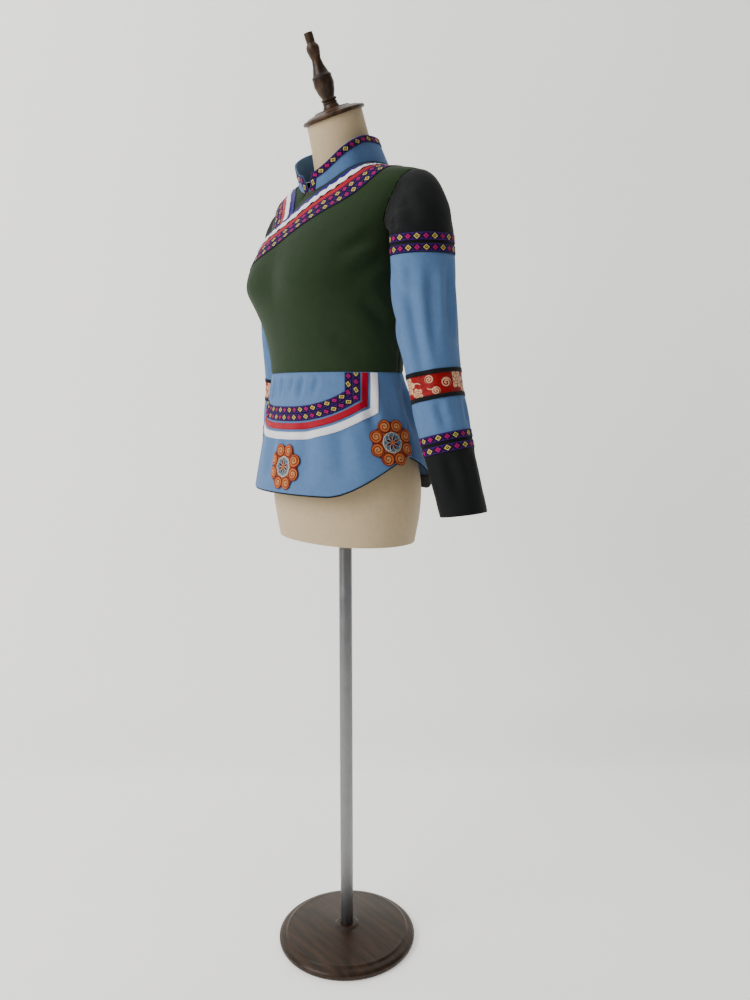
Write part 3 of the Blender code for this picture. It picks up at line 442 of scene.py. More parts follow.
# Lights: side, colour, place as toward the camera, aside from it and up, and the height aimed at.
LIGHTS = {
    "key": (2.2, (1.0, 0.985, 0.96), (1.5, -2.4, 2.5), 1.15),
    "fill": (2.4, (0.95, 0.98, 1.0), (2.0, 2.3, 1.5), 1.1),
    "overhead": (3.0, (1.0, 1.0, 0.99), (-0.1, 0.0, 3.6), 0.0),
}
AIR_COLOUR = (0.90, 0.92, 0.93, 1)


# Settings


def length(name, description, value):
    return FloatProperty(name=name, description=description, default=value, unit="LENGTH")


class TunicCloth(bpy.types.PropertyGroup):
    """Thickness, lay and creases of the cloth."""

    body_cloth: length("Body cloth", "Thickness of the cut panels", 0.0015)
    ribbon_cloth: length("Ribbon", "Thickness of ribbons and patches", 0.0008)
    ribbon_lift: length("Ribbon height", "Ribbon's face above the cloth", 0.0011)
    medallion_lift: length("Medallion height", "Its face above the cloth", 0.0023)
    grid: length("Grid", "Size of the panels' mesh faces", 0.0032)
    ripple: length("Ripple", "Swing of the white ribbon's edges", 0.0020)
    relief: length("Embroidery", "Height of the medallions' threads", 0.0006)
    creases: FloatProperty(
        name="Creases", description="Share of the creases' depth", default=1.8, subtype="FACTOR"
    )


def colour(name, description, value):
    return FloatVectorProperty(
        name=name, description=description, default=value, subtype="COLOR", min=0, max=1
    )


class TunicColours(bpy.types.PropertyGroup):
    """Colours of the cloths, ribbons and threads."""

    green: colour("Green", "Bodice", (0.015, 0.031, 0.0105))
    blue: colour("Light blue", "Peplum, collar and sleeves", (0.088, 0.172, 0.345))
    black: colour("Black", "Shoulders, cuffs and edgings", (0.0045, 0.0050, 0.0060))
    white: colour("White", "White ribbons", (0.800, 0.790, 0.860))
    red: colour("Red", "Red ribbons", (0.340, 0.0010, 0.0160))
    violet: colour("Violet", "Violet ribbon", (0.016, 0.005, 0.150))
    brocade: colour("Brocade", "Ground of the sleeve brocade", (0.330, 0.0012, 0.0040))
    gold: colour("Gold", "Figures of the brocade", (0.640, 0.300, 0.110))
    navy: colour("Navy", "Ground of the woven ribbon", (0.004, 0.002, 0.017))
    cream: colour("Cream", "Outlined diamonds of the woven ribbon", (0.760, 0.600, 0.140))
    magenta: colour("Magenta", "Filled diamonds of the woven ribbon", (0.400, 0.003, 0.150))
    lilac: colour("Lilac", "Edge threads of the woven ribbon", (0.080, 0.012, 0.240))
    peach: colour("Peach", "Curls of the medallions", (0.600, 0.140, 0.032))
    rust: colour("Rust", "Outlines of the medallions", (0.120, 0.004, 0.003))
    teal: colour("Teal", "Inner ring of the medallions", (0.090, 0.200, 0.190))


class StandFinish(bpy.types.PropertyGroup):
    """Finish of the form and its stand."""

    linen: colour("Linen", "Cover of the form", (0.470, 0.355, 0.215))
    wood: colour("Dark wood", "Base, neck cap and finial", (0.015, 0.0068, 0.0034))
    grain: colour("Grain", "Lighter streaks of the wood", (0.090, 0.040, 0.016))
    steel: colour("Steel", "Pole", (0.220, 0.220, 0.230))


def power(name, description, value):
    return FloatProperty(name=name, description=description, default=value, unit="POWER")


class Studio(bpy.types.PropertyGroup):
    """Light and backdrop."""

    pale: colour("Backdrop", "Floor and wall", (0.820, 0.820, 0.785))
    key: power("Key", "Main light", 125.0)
    fill: power("Fill", "Second light", 4.0)
    overhead: power("Overhead", "Light above", 34.0)
    ambient: FloatProperty(name="Ambient", description="Light from all round", default=0.20)


# Curves and surfaces


def read_table(table, at):
    """The columns of a table, whose first column rises, on one smooth curve through its rows."""
    rows = np.asarray(table, float)
    keys, values = rows[:, 0], rows[:, 1:]
    slopes = np.gradient(values, keys, axis=0)
    at = np.clip(np.asarray(at, float), keys[0], keys[-1])
    i = np.clip(np.searchsorted(keys, at, side="right") - 1, 0, len(keys) - 2)
    span = (keys[i + 1] - keys[i])[..., None]
    t = (at - keys[i])[..., None] / span
    start = (1 + 2 * t) * (1 - t) ** 2 * values[i] + t * (1 - t) ** 2 * span * slopes[i]
    end = t * t * (3 - 2 * t) * values[i + 1] - t * t * (1 - t) * span * slopes[i + 1]
    return np.moveaxis(start + end, -1, 0)


def ramp(value, low, high):
    """0 below low, 1 above high, and smooth between them."""
    t = np.clip((value - low) / (high - low), 0, 1)
    return t * t * (3 - 2 * t)


def section_radius(sections, turn, z):
    """Distance of a section's outline from its middle, in the direction turned from the front."""
    half, front, back, _, square = read_table(sections, z)
    depth = np.where(np.cos(turn) > 0, front, back)
    across, along = np.abs(np.sin(turn)) / half, np.abs(np.cos(turn)) / depth
    radius = (across**square + along**square) ** (-1 / square)
    height = np.where(z > BUST_Z, (z - BUST_Z) / BUST_ABOVE, (z - BUST_Z) / BUST_BELOW)
    full = np.exp(-(height**2))
    side = np.exp(-(((np.abs(turn) - BUST_TURN) / BUST_SPREAD) ** 2))
    hollow = np.exp(-((turn / (0.7 * BUST_SPREAD)) ** 2))
    return radius + full * (BUST_OUT * side - BUST_HOLLOW * hollow)


def on_sections(sections, turn, z):
    """Points on the surface through these sections, as rows of x, y, z."""
    turn, z = np.broadcast_arrays(np.asarray(turn, float), np.asarray(z, float))
    radius = section_radius(sections, turn, z)
    middle = read_table(sections, z)[3]
    return np.stack([radius * np.sin(turn), middle - radius * np.cos(turn), z], axis=-1)


def turn_of(points):
    """Turns of the tunic's points from its front, the wearer's left being positive."""
    middle = read_table(TUNIC_SECTIONS, points[:, 2])[3]
    return np.arctan2(points[:, 0], middle - points[:, 1])


def beyond(points):
    """How far points are outside the tunic's surface, level with them."""
    middle = read_table(TUNIC_SECTIONS, points[:, 2])[3]
    away = np.hypot(points[:, 0], points[:, 1] - middle)
    return away - section_radius(TUNIC_SECTIONS, turn_of(points), points[:, 2])


def slope(points):
    step = 0.0005
    slopes = [beyond(points + step * axis) - beyond(points - step * axis) for axis in np.eye(3)]
    return np.stack(slopes, axis=1) / (2 * step)


def outward(points):
    """Outward unit normals of the tunic's surface."""
    return unit(slope(points))


def unit(vectors):
    return vectors / np.linalg.norm(vectors, axis=-1, keepdims=True)


def onto(points):
    """The nearest points of the tunic's surface."""
    for _ in range(3):
        rise = slope(points)
        points = points - rise * (beyond(points) / np.sum(rise * rise, axis=1))[:, None]
    return points


def steps_of(line):
    """Lengths of the steps between a line's points."""
    return np.linalg.norm(np.diff(line, axis=0), axis=1)


def along_line(line):
    """Length of the line up to each of its points."""
    return np.concatenate([[0], np.cumsum(steps_of(line))])


def even_heights(sections, low, high, rows):
    """Heights of rings that are about evenly spaced along the surface, front and side together."""
    fine = np.linspace(low, high, 400)
    front, side = (steps_of(on_sections(sections, turn, fine)) for turn in (0.0, math.pi / 2))
    along = np.concatenate([[0], np.cumsum(front + side)])
    return np.interp(np.linspace(0, along[-1], rows + 1), along, fine)


def smooth_line(points, count):
    """A smooth line of count points through the given ones."""
    points = np.asarray(points, float)
    along = along_line(points)
    table = np.column_stack([along, points])
    return read_table(table, np.linspace(0, along[-1], count)).T


def front_point(x, z):
    """The point of the tunic's front surface at this x and z."""
    turns = np.linspace(-math.pi / 2, math.pi / 2, 721)
    ring = on_sections(TUNIC_SECTIONS, turns, z)
    return np.array([np.interp(x, ring[:, 0], ring[:, k]) for k in range(3)])


def read_round(table, turn):
    """The column of a table whose keys are degrees from the front, alike on both sides."""
    around = np.degrees(np.abs((np.asarray(turn, float) + math.pi) % (2 * math.pi) - math.pi))
    return read_table(table, around)[0]


def neckline_height(turn):
    return read_round(NECKLINE, turn)


def neckline(turn):
    return on_sections(TUNIC_SECTIONS, turn, neckline_height(turn))


def flap_edge_z(x):
    """Height of the flap's edge at x: it climbs from the right armhole, then turns up to the neck."""
    line = smooth_line(FLAP_EDGE_FRONT, 60)
    line = line[line[:, 0] < FLAP_TURN_X]
    xs = [*line[:, 0], FLAP_TURN_X + 0.012, FLAP_TURN_X + 0.018]
    zs = [*line[:, 1], 1.425, 1.470]
    return np.interp(x, xs, zs)


def under_depth(points):
    """How far the right front sinks beneath the flap."""
    below_edge = flap_edge_z(points[:, 0]) + 0.050 - points[:, 2]
    return UNDER_LAYER * ramp(below_edge, 0, 0.035) * (points[:, 1] < SIDE_SEAM_Y + 0.002)


@functools.cache
def armhole_point(side, phi):
    """The armhole's point in the direction turned by phi from the top, forwards being positive."""
    y0, z0 = ARMHOLE_CENTRE
    reach = np.linspace(0.01, 0.12, 441)
    y, z = y0 - reach * math.sin(phi), z0 + reach * math.cos(phi)
    half, front, back, middle, square = read_table(TUNIC_SECTIONS, z)
    depth = np.where(y < middle, front, back)
    share = np.clip(np.abs(y - middle) / depth, 0, 1)
    x = half * (1 - share**square) ** (1 / square)
    away = past_armhole(np.stack([x, y, z], axis=-1))
    i = np.nonzero((away[:-1] >= 0) & (away[1:] < 0))[0][0]
    t = away[i] / (away[i] - away[i + 1])
    found = [line[i] + t * (line[i + 1] - line[i]) for line in (x, y, z)]
    return np.array([side * found[0], found[1], found[2]])


def arm_ring(side, height, phi):
    """Points round the sleeve at this height of its centre line, and the arm's downward direction."""
    table = LEFT_ARM if side > 0 else RIGHT_ARM
    x, y, half, depth = read_table(table, height)
    step = 0.002
    ahead, behind = read_table(table, height - step), read_table(table, height + step)
    down = np.stack([ahead[0] - behind[0], ahead[1] - behind[1], np.full_like(x, -2 * step)], axis=-1)
    down = unit(down)
    out = unit(np.array([side, 0.0, 0.0]) - side * down[..., :1] * down)
    front = np.cross(out, down) * side
    front *= np.where(front[..., 1:2] > 0, -1, 1)
    across = np.cos(phi) * half * np.where(np.cos(phi) < 0, INNER_SHARE, 1.0)
    forward = np.sin(phi) * depth
    centre = np.stack([x, y, np.broadcast_to(height, x.shape)], axis=-1)
    return centre + across[..., None] * out + forward[..., None] * front, down


def sleeve_surface(side, phi, height):
    """Points of a sleeve's outer face: rings down the arm, and a cap that runs up to the armhole."""
    phi, height = np.broadcast_arrays(np.asarray(phi, float), np.asarray(height, float))
    ring, down = arm_ring(side, np.minimum(height, BICEP_Z), phi)
    t = np.clip((height - BICEP_Z) / (SHOULDER_Z - BICEP_Z), 0, 1)[..., None]
    turns, which = np.unique(np.round(phi.ravel(), 9), return_inverse=True)
    seam_line = np.array([armhole_point(side, float(a)) for a in turns])[which].reshape(*phi.shape, 3)
    across, up = np.full_like(phi, side * CAP_LEAVES[0]), CAP_LEAVES[1] + CAP_ROUNDS * np.cos(phi)
    leaves = np.stack([across, -CAP_ROUNDS * np.sin(phi), up], axis=-1)
    leaves = unit(leaves)
    seam_line = seam_line + ARMHOLE_GAP * leaves
    span = np.linalg.norm(seam_line - ring, axis=-1, keepdims=True)
    rise = (
        (1 + 2 * t) * (1 - t) ** 2 * ring
        - t * (1 - t) ** 2 * span * down
        + t * t * (3 - 2 * t) * seam_line
        + t * t * (1 - t) * span * leaves
    )
    return np.where(t > 0, rise, ring)


def collar_surface(turn, height, out=0.0):
    """Points of the collar's outer face, moved out by a distance; it stands on the neckline."""
    base = neckline(turn)
    up = np.array([0, -math.sin(NECK_TILT), math.cos(NECK_TILT)])
    flat = base - np.array(NECK_CENTRE)
    flat -= (flat @ up)[..., None] * up
    radius = np.linalg.norm(flat, axis=-1, keepdims=True)
    share = (height / COLLAR_HEIGHT)[..., None]
    inward = 0.0008 + share * (COLLAR_LEAN + (1 - COLLAR_TOP_SCALE) * radius) - out
    return base - flat / radius * inward + (0.0014 + height)[..., None] * up


# Cutting lines: each is above 0 where the cloth is cut away


def past_armhole(points):
    reach = read_table(ARMHOLE_REACH, points[:, 2])[0]
    beyond, above = np.abs(points[:, 0]) - reach, points[:, 2] - ARMPIT_Z
    soft = ARMHOLE_ROUNDING
    return -soft * np.logaddexp(-beyond / soft, -above / soft)


def past_neckline(points):
    return points[:, 2] - neckline_height(turn_of(points))


def behind_side_seam(points):
    return points[:, 1] - SIDE_SEAM_Y


def above_flap_edge(points):
    return points[:, 2] - flap_edge_z(points[:, 0])


def below_under_edge(points):
    return flap_edge_z(np.minimum(points[:, 0], FLAP_TURN_X)) - UNDER_OVERLAP - points[:, 2]


def past_under_edge(points):
    return points[:, 0] - UNDER_END_X


def below(height):
    return lambda points: height - points[:, 2]


def above(height):
    return lambda points: points[:, 2] - height


def opposite(cut):
    return lambda points: -cut(points)


def hem_height(points):
    turn = np.abs(turn_of(points))
    from_middle = np.minimum(turn, math.pi - turn)
    return HEM_FRONT_Z + HEM_RISE * ramp(from_middle, HEM_RISE_FROM, HEM_RISE_TO)


def below_hem(points):
    return hem_height(points) - points[:, 2]


# Creases


def crease_depth(table, turn, height, radius):
    """How far the creases in a table reach in, at these turns and heights."""
    depth = np.zeros_like(turn)
    for turn_a, top, turn_b, low, width, deep in table:
        start = np.array([math.radians(turn_a) * radius, top])
        run = np.array([math.radians(turn_b) * radius, low]) - start
        centre = math.radians((turn_a + turn_b) / 2)
        near = centre + (turn - centre + math.pi) % (2 * math.pi) - math.pi
        away = np.stack([near * radius, height], axis=-1) - start
        share = np.clip(away @ run / (run @ run), 0, 1)
        off = np.linalg.norm(away - share[..., None] * run, axis=-1)
        fade = ramp(share, -0.05, 0.30) * (1 - ramp(share, 0.55, 1.05))
        groove = np.exp(-((off / width) ** 2)) - 0.45 * np.exp(-(((off - 1.9 * width) / width) ** 2))
        depth += deep * fade * groove
    return depth


def body_creases(points):
    """How far the body cloth moves out at each point: creases, and the dip along each seam."""
    sew = bpy.context.scene.tunic_cloth
    turn = turn_of(points)
    z = points[:, 2]
    calm = ramp(np.abs(z - WAIST_Z), 0.0, 0.014)
    calm *= ramp(-past_armhole(points), 0.0, 0.020) * ramp(-past_neckline(points), 0.0, 0.020)
    moved = -sew.creases * calm * crease_depth(BODY_CREASES, turn, z, BODY_ROUND)
    flat = np.abs(z - WAIST_Z)
    beside = np.where(z < SIDE_SEAM_TOP, np.abs(points[:, 1] - SIDE_SEAM_Y), 1.0)
    for off in (flat, beside):
        moved -= SEAM_DIP * np.exp(-((off / SEAM_REACH) ** 2))
    pucker = np.sin(turn * 210 + 2 * np.sin(turn * 37)) * (0.6 + 0.4 * np.sin(turn * 23))
    return moved + PUCKER * pucker * np.exp(-(((flat - PUCKER_OFF) / PUCKER_REACH) ** 2))


# Sheets of cloth


def coordinates(bm):
    return np.array([v.co for v in bm.verts], float).reshape(-1, 3)


def set_coordinates(verts, points):
    for vert, point in zip(verts, points):
        vert.co = point


def add_grid(bm, columns, rows, place, chart):
    """Adds a grid of quads whose corners go where place(u, v) says, with the cloth's own chart."""
    layer = bm.loops.layers.uv.get("cloth") or bm.loops.layers.uv.new("cloth")
    made = bmesh.ops.create_grid(bm, x_segments=columns, y_segments=rows, size=0.5)["verts"]
    flat = np.array([v.co for v in made], float)[:, :2] + 0.5
    faces = {face for vert in made for face in vert.link_faces}
    for face in faces:
        for loop in face.loops:
            u, v = loop.vert.co.x + 0.5, loop.vert.co.y + 0.5
            loop[layer].uv = chart(u, v)
    set_coordinates(made, place(flat[:, 0], flat[:, 1]))
    return made


def sheet_grid(columns, rows, place, size, closed=False, shift=0.0):
    bm = bmesh.new()
    add_grid(bm, columns, rows, place, lambda u, v: (shift + u * size[0], v * size[1]))
    if closed:
        bmesh.ops.remove_doubles(bm, verts=bm.verts, dist=MERGE)
    return bm


def face_out(bm, centre):
    """Turns the faces of a sheet that goes round a centre so that they look away from it."""
    bmesh.ops.recalc_face_normals(bm, faces=bm.faces)
    looks = sum(f.normal.dot(f.calc_center_median() - Vector(centre)) * f.calc_area() for f in bm.faces)
    if looks < 0:
        bmesh.ops.reverse_faces(bm, faces=bm.faces)
    bm.normal_update()


def trim(bm, cut):
    """Splits the sheet along the line where cut is 0, and drops the side where it is above 0."""
    bm.verts.index_update()
    level = cut(coordinates(bm))
    values = dict(zip(bm.verts, level))
    crossing = [e for e in bm.edges if values[e.verts[0]] * values[e.verts[1]] < 0]
    if crossing:
        start = np.array([e.verts[0].co for e in crossing], float)
        end = np.array([e.verts[1].co for e in crossing], float)
        first = np.array([values[e.verts[0]] for e in crossing])
        low, high = np.zeros(len(crossing)), np.ones(len(crossing))
        for _ in range(14):
            share = (low + high) / 2
            same = cut(start + share[:, None] * (end - start)) * first > 0
            low, high = np.where(same, share, low), np.where(same, high, share)
        for edge, share in zip(crossing, np.clip((low + high) / 2, 0.02, 0.98)):
            _, middle = bmesh.utils.edge_split(edge, edge.verts[0], float(share))
            values[middle] = 0.0
    for face in list(bm.faces):
        on_line = [v for v in face.verts if values[v] == 0]
        if len(on_line) == 2 and not bm.edges.get(on_line):
            bmesh.utils.face_split(face, *on_line)
    dropped = [f for f in bm.faces if sum(values[v] for v in f.verts) > 0]
    bmesh.ops.delete(bm, geom=dropped, context="FACES")
    bmesh.ops.delete(bm, geom=[v for v in bm.verts if not v.link_faces], context="VERTS")


def draw_in(bm, distance):
    """Moves a sheet's outline in, so that neighbours keep a gap at their seam."""
    shifts = {}
    for edge in bm.edges:
        if len(edge.link_faces) != 1:
            continue
        face = edge.link_faces[0]
        a, b = edge.verts
        inward = face.normal.cross(b.co - a.co).normalized()
        if inward.dot(face.calc_center_median() - a.co) < 0:
            inward = -inward
        for vert in (a, b):
            shifts.setdefault(vert, []).append(inward)
    for vert, directions in shifts.items():
        total = sum(directions, Vector())
        if total.length > 1e-6:
            total.normalize()
            vert.co += total * distance / max(total.dot(directions[0]), 0.5)


def along_normals(bm, distances):
    bm.normal_update()
    for vert, distance in zip(bm.verts, distances):
        vert.co += vert.normal * float(distance)


def extent(bm):
    """Width and length of a sheet as cut, from its chart, and its area."""
    layer = bm.loops.layers.uv["cloth"]
    flat = np.array([loop[layer].uv for face in bm.faces for loop in face.loops])
    width, length = flat.max(0) - flat.min(0)
    return float(width), float(length), sum(f.calc_area() for f in bm.faces)


def finish_piece(name, bm, node, look, slot):
    """Makes the piece an object at the origin that stands for a node of the frame."""
    mesh = bpy.data.meshes.new(name)
    bm.to_mesh(mesh)
    bm.free()
    mesh.materials.append(look)
    mesh.shade_smooth()
    mesh.set_sharp_from_angle(angle=SHARP_ANGLE)
    obj = bpy.data.objects.new(name, mesh)
    bpy.context.scene.collection.objects.link(obj)
    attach(obj, "root")
    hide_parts(node)
    return obj


def finish_cloth(node, bm, thickness, look, slot):
    """A sheet with its wall turned inwards; its size as cut is read from its chart."""
    width, length, area = extent(bm)
    obj = finish_piece(f"{node}_cloth", bm, node, look, slot)
    solid = obj.modifiers.new("wall", "SOLIDIFY")
    solid.thickness = thickness
    solid.offset = -1
    solid.use_rim = True
    if min(width, length) < NARROWEST_SHEET:
        return obj
    share = min(max(area / (width * length), 0.31), 1.0)
    area = share * width * length
    return obj


# Bodice and peplum


def body_piece(node, heights, cuts, lift, look, slot, behind=False):
    """One panel of the tunic's body: cut from its surface, creased and moved out by lift."""
    sew = bpy.context.scene.tunic_cloth
    low, high = heights
    fine = even_heights(TUNIC_SECTIONS, low, high, 60)
    side, front = (on_sections(TUNIC_SECTIONS, turn, fine) for turn in (math.pi / 2, 0.0))
    length = max(np.sum(steps_of(side)), np.sum(steps_of(front)))
    rows = math.ceil(length / sew.grid)
    rings = even_heights(TUNIC_SECTIONS, low, high, rows)
    levels = np.linspace(0, 1, rows + 1)
    middle = math.pi if behind else 0.0
    columns = math.ceil(BODY_CHART_WIDTH / sew.grid)

    def place(u, v):
        turn = middle + (u - 0.5) * 2 * math.pi
        return on_sections(TUNIC_SECTIONS, turn, np.interp(v, levels, rings))

    bm = sheet_grid(columns, rows, place, (BODY_CHART_WIDTH, length), closed=True)
    face_out(bm, (0, 0, (low + high) / 2))
    for cut in cuts:
        trim(bm, cut)
    bm.normal_update()
    draw_in(bm, SEAM_GAP / 2)
    points = coordinates(bm)
    moved = points + outward(points) * (lift(points) + body_creases(points))[:, None]
    set_coordinates(bm.verts, moved)
    return finish_cloth(node, bm, sew.body_cloth, look, slot)


def flush(points):
    return np.zeros(len(points))


class TUNIC_OT_bodice(bpy.types.Operator):
    """Cut and lay the flap, the right front and the back"""

    bl_idname = "tunic.bodice"
    bl_label = "Bodice"

    def execute(self, context):
        bodice = [below(WAIST_Z), past_neckline, past_armhole]
        front = [*bodice, behind_side_seam]
        heights = (WAIST_Z - GRID_SPARE, GRID_TOP)
        look = cloth_look("green_suiting", "green", 0.0011, 1.0)
        under = [*front, below_under_edge, past_under_edge]
        body_piece("right_front", heights, under, lambda p: -under_depth(p), look, "green")
        body_piece("flap", heights, [*front, above_flap_edge], flush, look, "green")
        back = [*bodice, opposite(behind_side_seam)]
        body_piece("back", heights, back, flush, look, "green", behind=True)
        return {"FINISHED"}


class TUNIC_OT_peplum(bpy.types.Operator):
    """Cut and lay both panels of the peplum, with the dark facing inside their hem"""

    bl_idname = "tunic.peplum"
    bl_label = "Peplum"

    def execute(self, context):
        peplum = [above(WAIST_Z), below_hem]
        heights = (GRID_BOTTOM, WAIST_Z + GRID_SPARE)
        look = cloth_look("light_blue_cotton", "blue", 0.0010)
        body_piece("peplum_front", heights, [*peplum, behind_side_seam], flush, look, "blue")
        back = [*peplum, opposite(behind_side_seam)]
        body_piece("peplum_back", heights, back, flush, look, "blue", behind=True)
        sew = context.scene.tunic_cloth
        depth = sew.body_cloth + FACING_BEHIND
        deep = FACING_WIDTH + FACING_SHOWS
        for node, ends in (("facing_front", (-88, 88)), ("facing_back", (92, 268))):
            turns = np.radians(np.linspace(*ends, 181))
            at = on_sections(TUNIC_SECTIONS, turns, np.full(len(turns), HEM_FRONT_Z))
            for _ in range(4):
                at = on_sections(TUNIC_SECTIONS, turns, hem_height(at))

            def place(u, v):
                i = np.rint(u * (len(at) - 1)).astype(int)
                points = at[i].copy()
                points[:, 2] += v * deep - FACING_SHOWS
                points = onto(points)
                return points + outward(points) * (body_creases(points) - depth)[:, None]

            bm = sheet_grid(len(at) - 1, 8, place, (np.sum(steps_of(at)), deep))
            face_out(bm, (0, 0, HEM_FRONT_Z))
            look = cloth_look("black_facing", "black", 0.0010)
            finish_cloth(node, bm, sew.ribbon_cloth, look, "black")
        return {"FINISHED"}


# Ribbons and patches on the body


def march(points, directions, distance):
    """Points of the cloth at a distance from the given ones, over the cloth in these directions."""
    steps = max(1, math.ceil(np.max(np.abs(distance)) / 0.008))
    at = onto(points)
    for _ in range(steps):
        normals = outward(at)
        flat = directions - np.einsum("ij,ij->i", directions, normals)[:, None] * normals
        lengths = np.linalg.norm(directions, axis=1) / np.linalg.norm(flat, axis=1)
        at = onto(at + flat * lengths[:, None] * distance / steps)
    return at


def tangents_of(line):
    """Directions of a line at its points, and of the step after each."""
    runs = unit(np.diff(line, axis=0))
    before, after = np.vstack([runs[:1], runs]), np.vstack([runs, runs[-1:]])
    return unit(before + after), after


def across_line(line, mitre=False):
    """Directions over the cloth to the right of a line, seen from outside."""
    tangents, after = tangents_of(line)
    across = unit(np.cross(tangents, outward(line)))
    if mitre:
        across /= np.einsum("ij,ij->i", tangents, after)[:, None]
    return across


def even_line(line, step):
    """The line with its points a step apart."""
    along = along_line(line)
    at = np.linspace(0, along[-1], math.ceil(along[-1] / step) + 1)
    return np.stack([np.interp(at, along, line[:, k]) for k in range(3)], axis=1)


def eased(values, reach):
    """Rows of values, each averaged with its neighbours."""
    weights = np.exp(-(np.linspace(-2, 2, 2 * reach + 1) ** 2))
    padded = np.pad(values, ((reach, reach), (0, 0)), mode="edge")
    columns = [np.convolve(padded[:, k], weights / weights.sum(), "valid") for k in range(3)]
    return np.stack(columns, axis=1)


def neck_line():
    """The inner edge of the neck ribbons: along the flap, round the neck, and in under the flap."""
    flap = [front_point(x, z) for x, z in FLAP_EDGE_FRONT]
    neck = neckline(np.radians(NECK_TURNS))
    neck = march(neck, across_line(neck), RIBBON_STAND_OFF)
    under = [front_point(x, z) for x, z in reversed(UNDER_EDGE_FRONT)]
    return even_line(smooth_line([*flap, *neck, *under], 500), NECK_STEP)


def strip_from_rows(bm, rows, start):
    """Adds a strip between rows of points, charted by the length along its middle row."""
    count = len(rows[0])
    table = np.array(rows)
    lengths = along_line(table[len(rows) // 2])
    width = float(np.mean(np.linalg.norm(table[-1] - table[0], axis=1)))

    def place(u, v):
        i, j = np.rint(u * (count - 1)).astype(int), np.rint(v * (len(rows) - 1)).astype(int)
        return table[j, i]

    def chart(u, v):
        return (start + float(lengths[round(u * (count - 1))]), v * width)

    add_grid(bm, count - 1, len(rows) - 1, place, chart)
    return float(lengths[-1])


def look_out(bm):
    """Turns a ribbon's faces away from the body."""
    bmesh.ops.recalc_face_normals(bm, faces=bm.faces)
    face = max(bm.faces, key=lambda f: f.calc_area())
    here = np.array([face.calc_center_median()])
    if Vector(outward(here)[0]).dot(face.normal) < 0:
        bmesh.ops.reverse_faces(bm, faces=bm.faces)


def ribbon_look(kind):
    if kind == "woven":
        return woven_look("woven_diamond_ribbon")
    return satin_look(f"{kind}_ribbon", kind)


class TUNIC_OT_neck_ribbons(bpy.types.Operator):
    """Lay the five ribbons along the flap and round the neck"""

    bl_idname = "tunic.neck_ribbons"
    bl_label = "Neck ribbons"

    def execute(self, context):
        sew = context.scene.tunic_cloth
        line = neck_line()
        directions = unit(eased(across_line(line), 10))
        right = np.arange(len(line)) > np.argmax(line[:, 1])
        along = np.arange(len(line)) * NECK_STEP
        for index, (node, near, far) in enumerate(NECK_RIBBONS):
            kind = node.split("_")[0]
            wavy = kind == "white"
            rows = []
            for share in np.linspace(0, 1, RIBBON_ROWS):
                swing = 0.0
                if wavy:
                    turns = along * 2 * math.pi / RIPPLE_LENGTH
                    beat = np.sin(turns + 1.3 * np.sin(along * 41) + 1.6 * share)
                    swing = sew.ripple * beat * np.where(right, 0.3, 1.0)
                distance = near + share * (far - near) + swing
                at = march(line, directions, np.broadcast_to(distance, len(line))[:, None])
                lift = sew.ribbon_lift + body_creases(at)
                lift = lift + np.where(right, 0.0002 - under_depth(at), 0.0)
                if wavy:
                    wrinkle = 0.5 + 0.5 * np.sin(along * 2 * math.pi / WRINKLE_LENGTH + 5 * share)
                    lift += WRINKLE + WRINKLE * wrinkle * np.where(right, 0.15, 1.0)
                elif kind != "woven":
                    lift += WAVE * np.sin(along * 2 * math.pi / WAVE_LENGTH + 4 * share + index)
                rows.append(at + outward(at) * lift[:, None])
            bm = bmesh.new()
            strip_from_rows(bm, rows, 0.5 * WOVEN_REPEAT * (index % 2))
            look_out(bm)
            finish_cloth(node, bm, sew.ribbon_cloth, ribbon_look(kind), kind)
        return {"FINISHED"}


def u_line():
    """The U's inner line on the peplum's front: one leg, the bottom, and the other leg."""
    turns = np.linspace(-U_TURN, U_TURN, U_BOTTOM)
    bottom = U_BOTTOM_Z + U_BOTTOM_RISE * np.abs(turns / U_TURN) ** 3
    side = np.linspace(U_START, bottom[0], U_LEG)[:-1]
    points = [on_sections(TUNIC_SECTIONS, -U_TURN, z) for z in side]
    points += [on_sections(TUNIC_SECTIONS, a, z) for a, z in zip(turns, bottom)]
    points += [on_sections(TUNIC_SECTIONS, U_TURN, z) for z in reversed(side)]
    return np.array(points)


class TUNIC_OT_u_ribbons(bpy.types.Operator):
    """Lay the mitred ribbons of the U on the peplum's front"""

    bl_idname = "tunic.u_ribbons"
    bl_label = "U ribbons"

    def execute(self, context):
        sew = context.scene.tunic_cloth
        line = u_line()
        directions = across_line(line, mitre=True)
        directions[[0, -1], 2] = 0.0
        for index, (node, near, far) in enumerate(U_RIBBONS):
            kind = node.split("_")[1]
            runs = [[], [], []]
            for share in np.linspace(0, 1, RIBBON_ROWS):
                at = march(line, directions, near + share * (far - near))
                at[[0, -1], 2] = U_START
                parts = (at[:U_LEG], at[U_LEG - 1 : 1 - U_LEG], at[-U_LEG:])
                for run, part, count in zip(runs, parts, (U_LEG_FINE, U_BOTTOM_FINE, U_LEG_FINE)):
                    points = onto(smooth_line(part, count))
                    lift = sew.ribbon_lift + body_creases(points)
                    run.append(points + outward(points) * lift[:, None])
            bm = bmesh.new()
            shift = 0.5 * WOVEN_REPEAT * (index % 2)
            leg, bottom, _ = (np.sum(steps_of(run[RIBBON_ROWS // 2])) for run in runs)
            for run, start in zip(runs, (-leg - bottom / 2, -bottom / 2, bottom / 2)):
                strip_from_rows(bm, run, shift + start)
            bmesh.ops.remove_doubles(bm, verts=bm.verts, dist=MERGE_RIBBON)
            look_out(bm)
            finish_cloth(node, bm, sew.ribbon_cloth, ribbon_look(kind), kind)
        return {"FINISHED"}


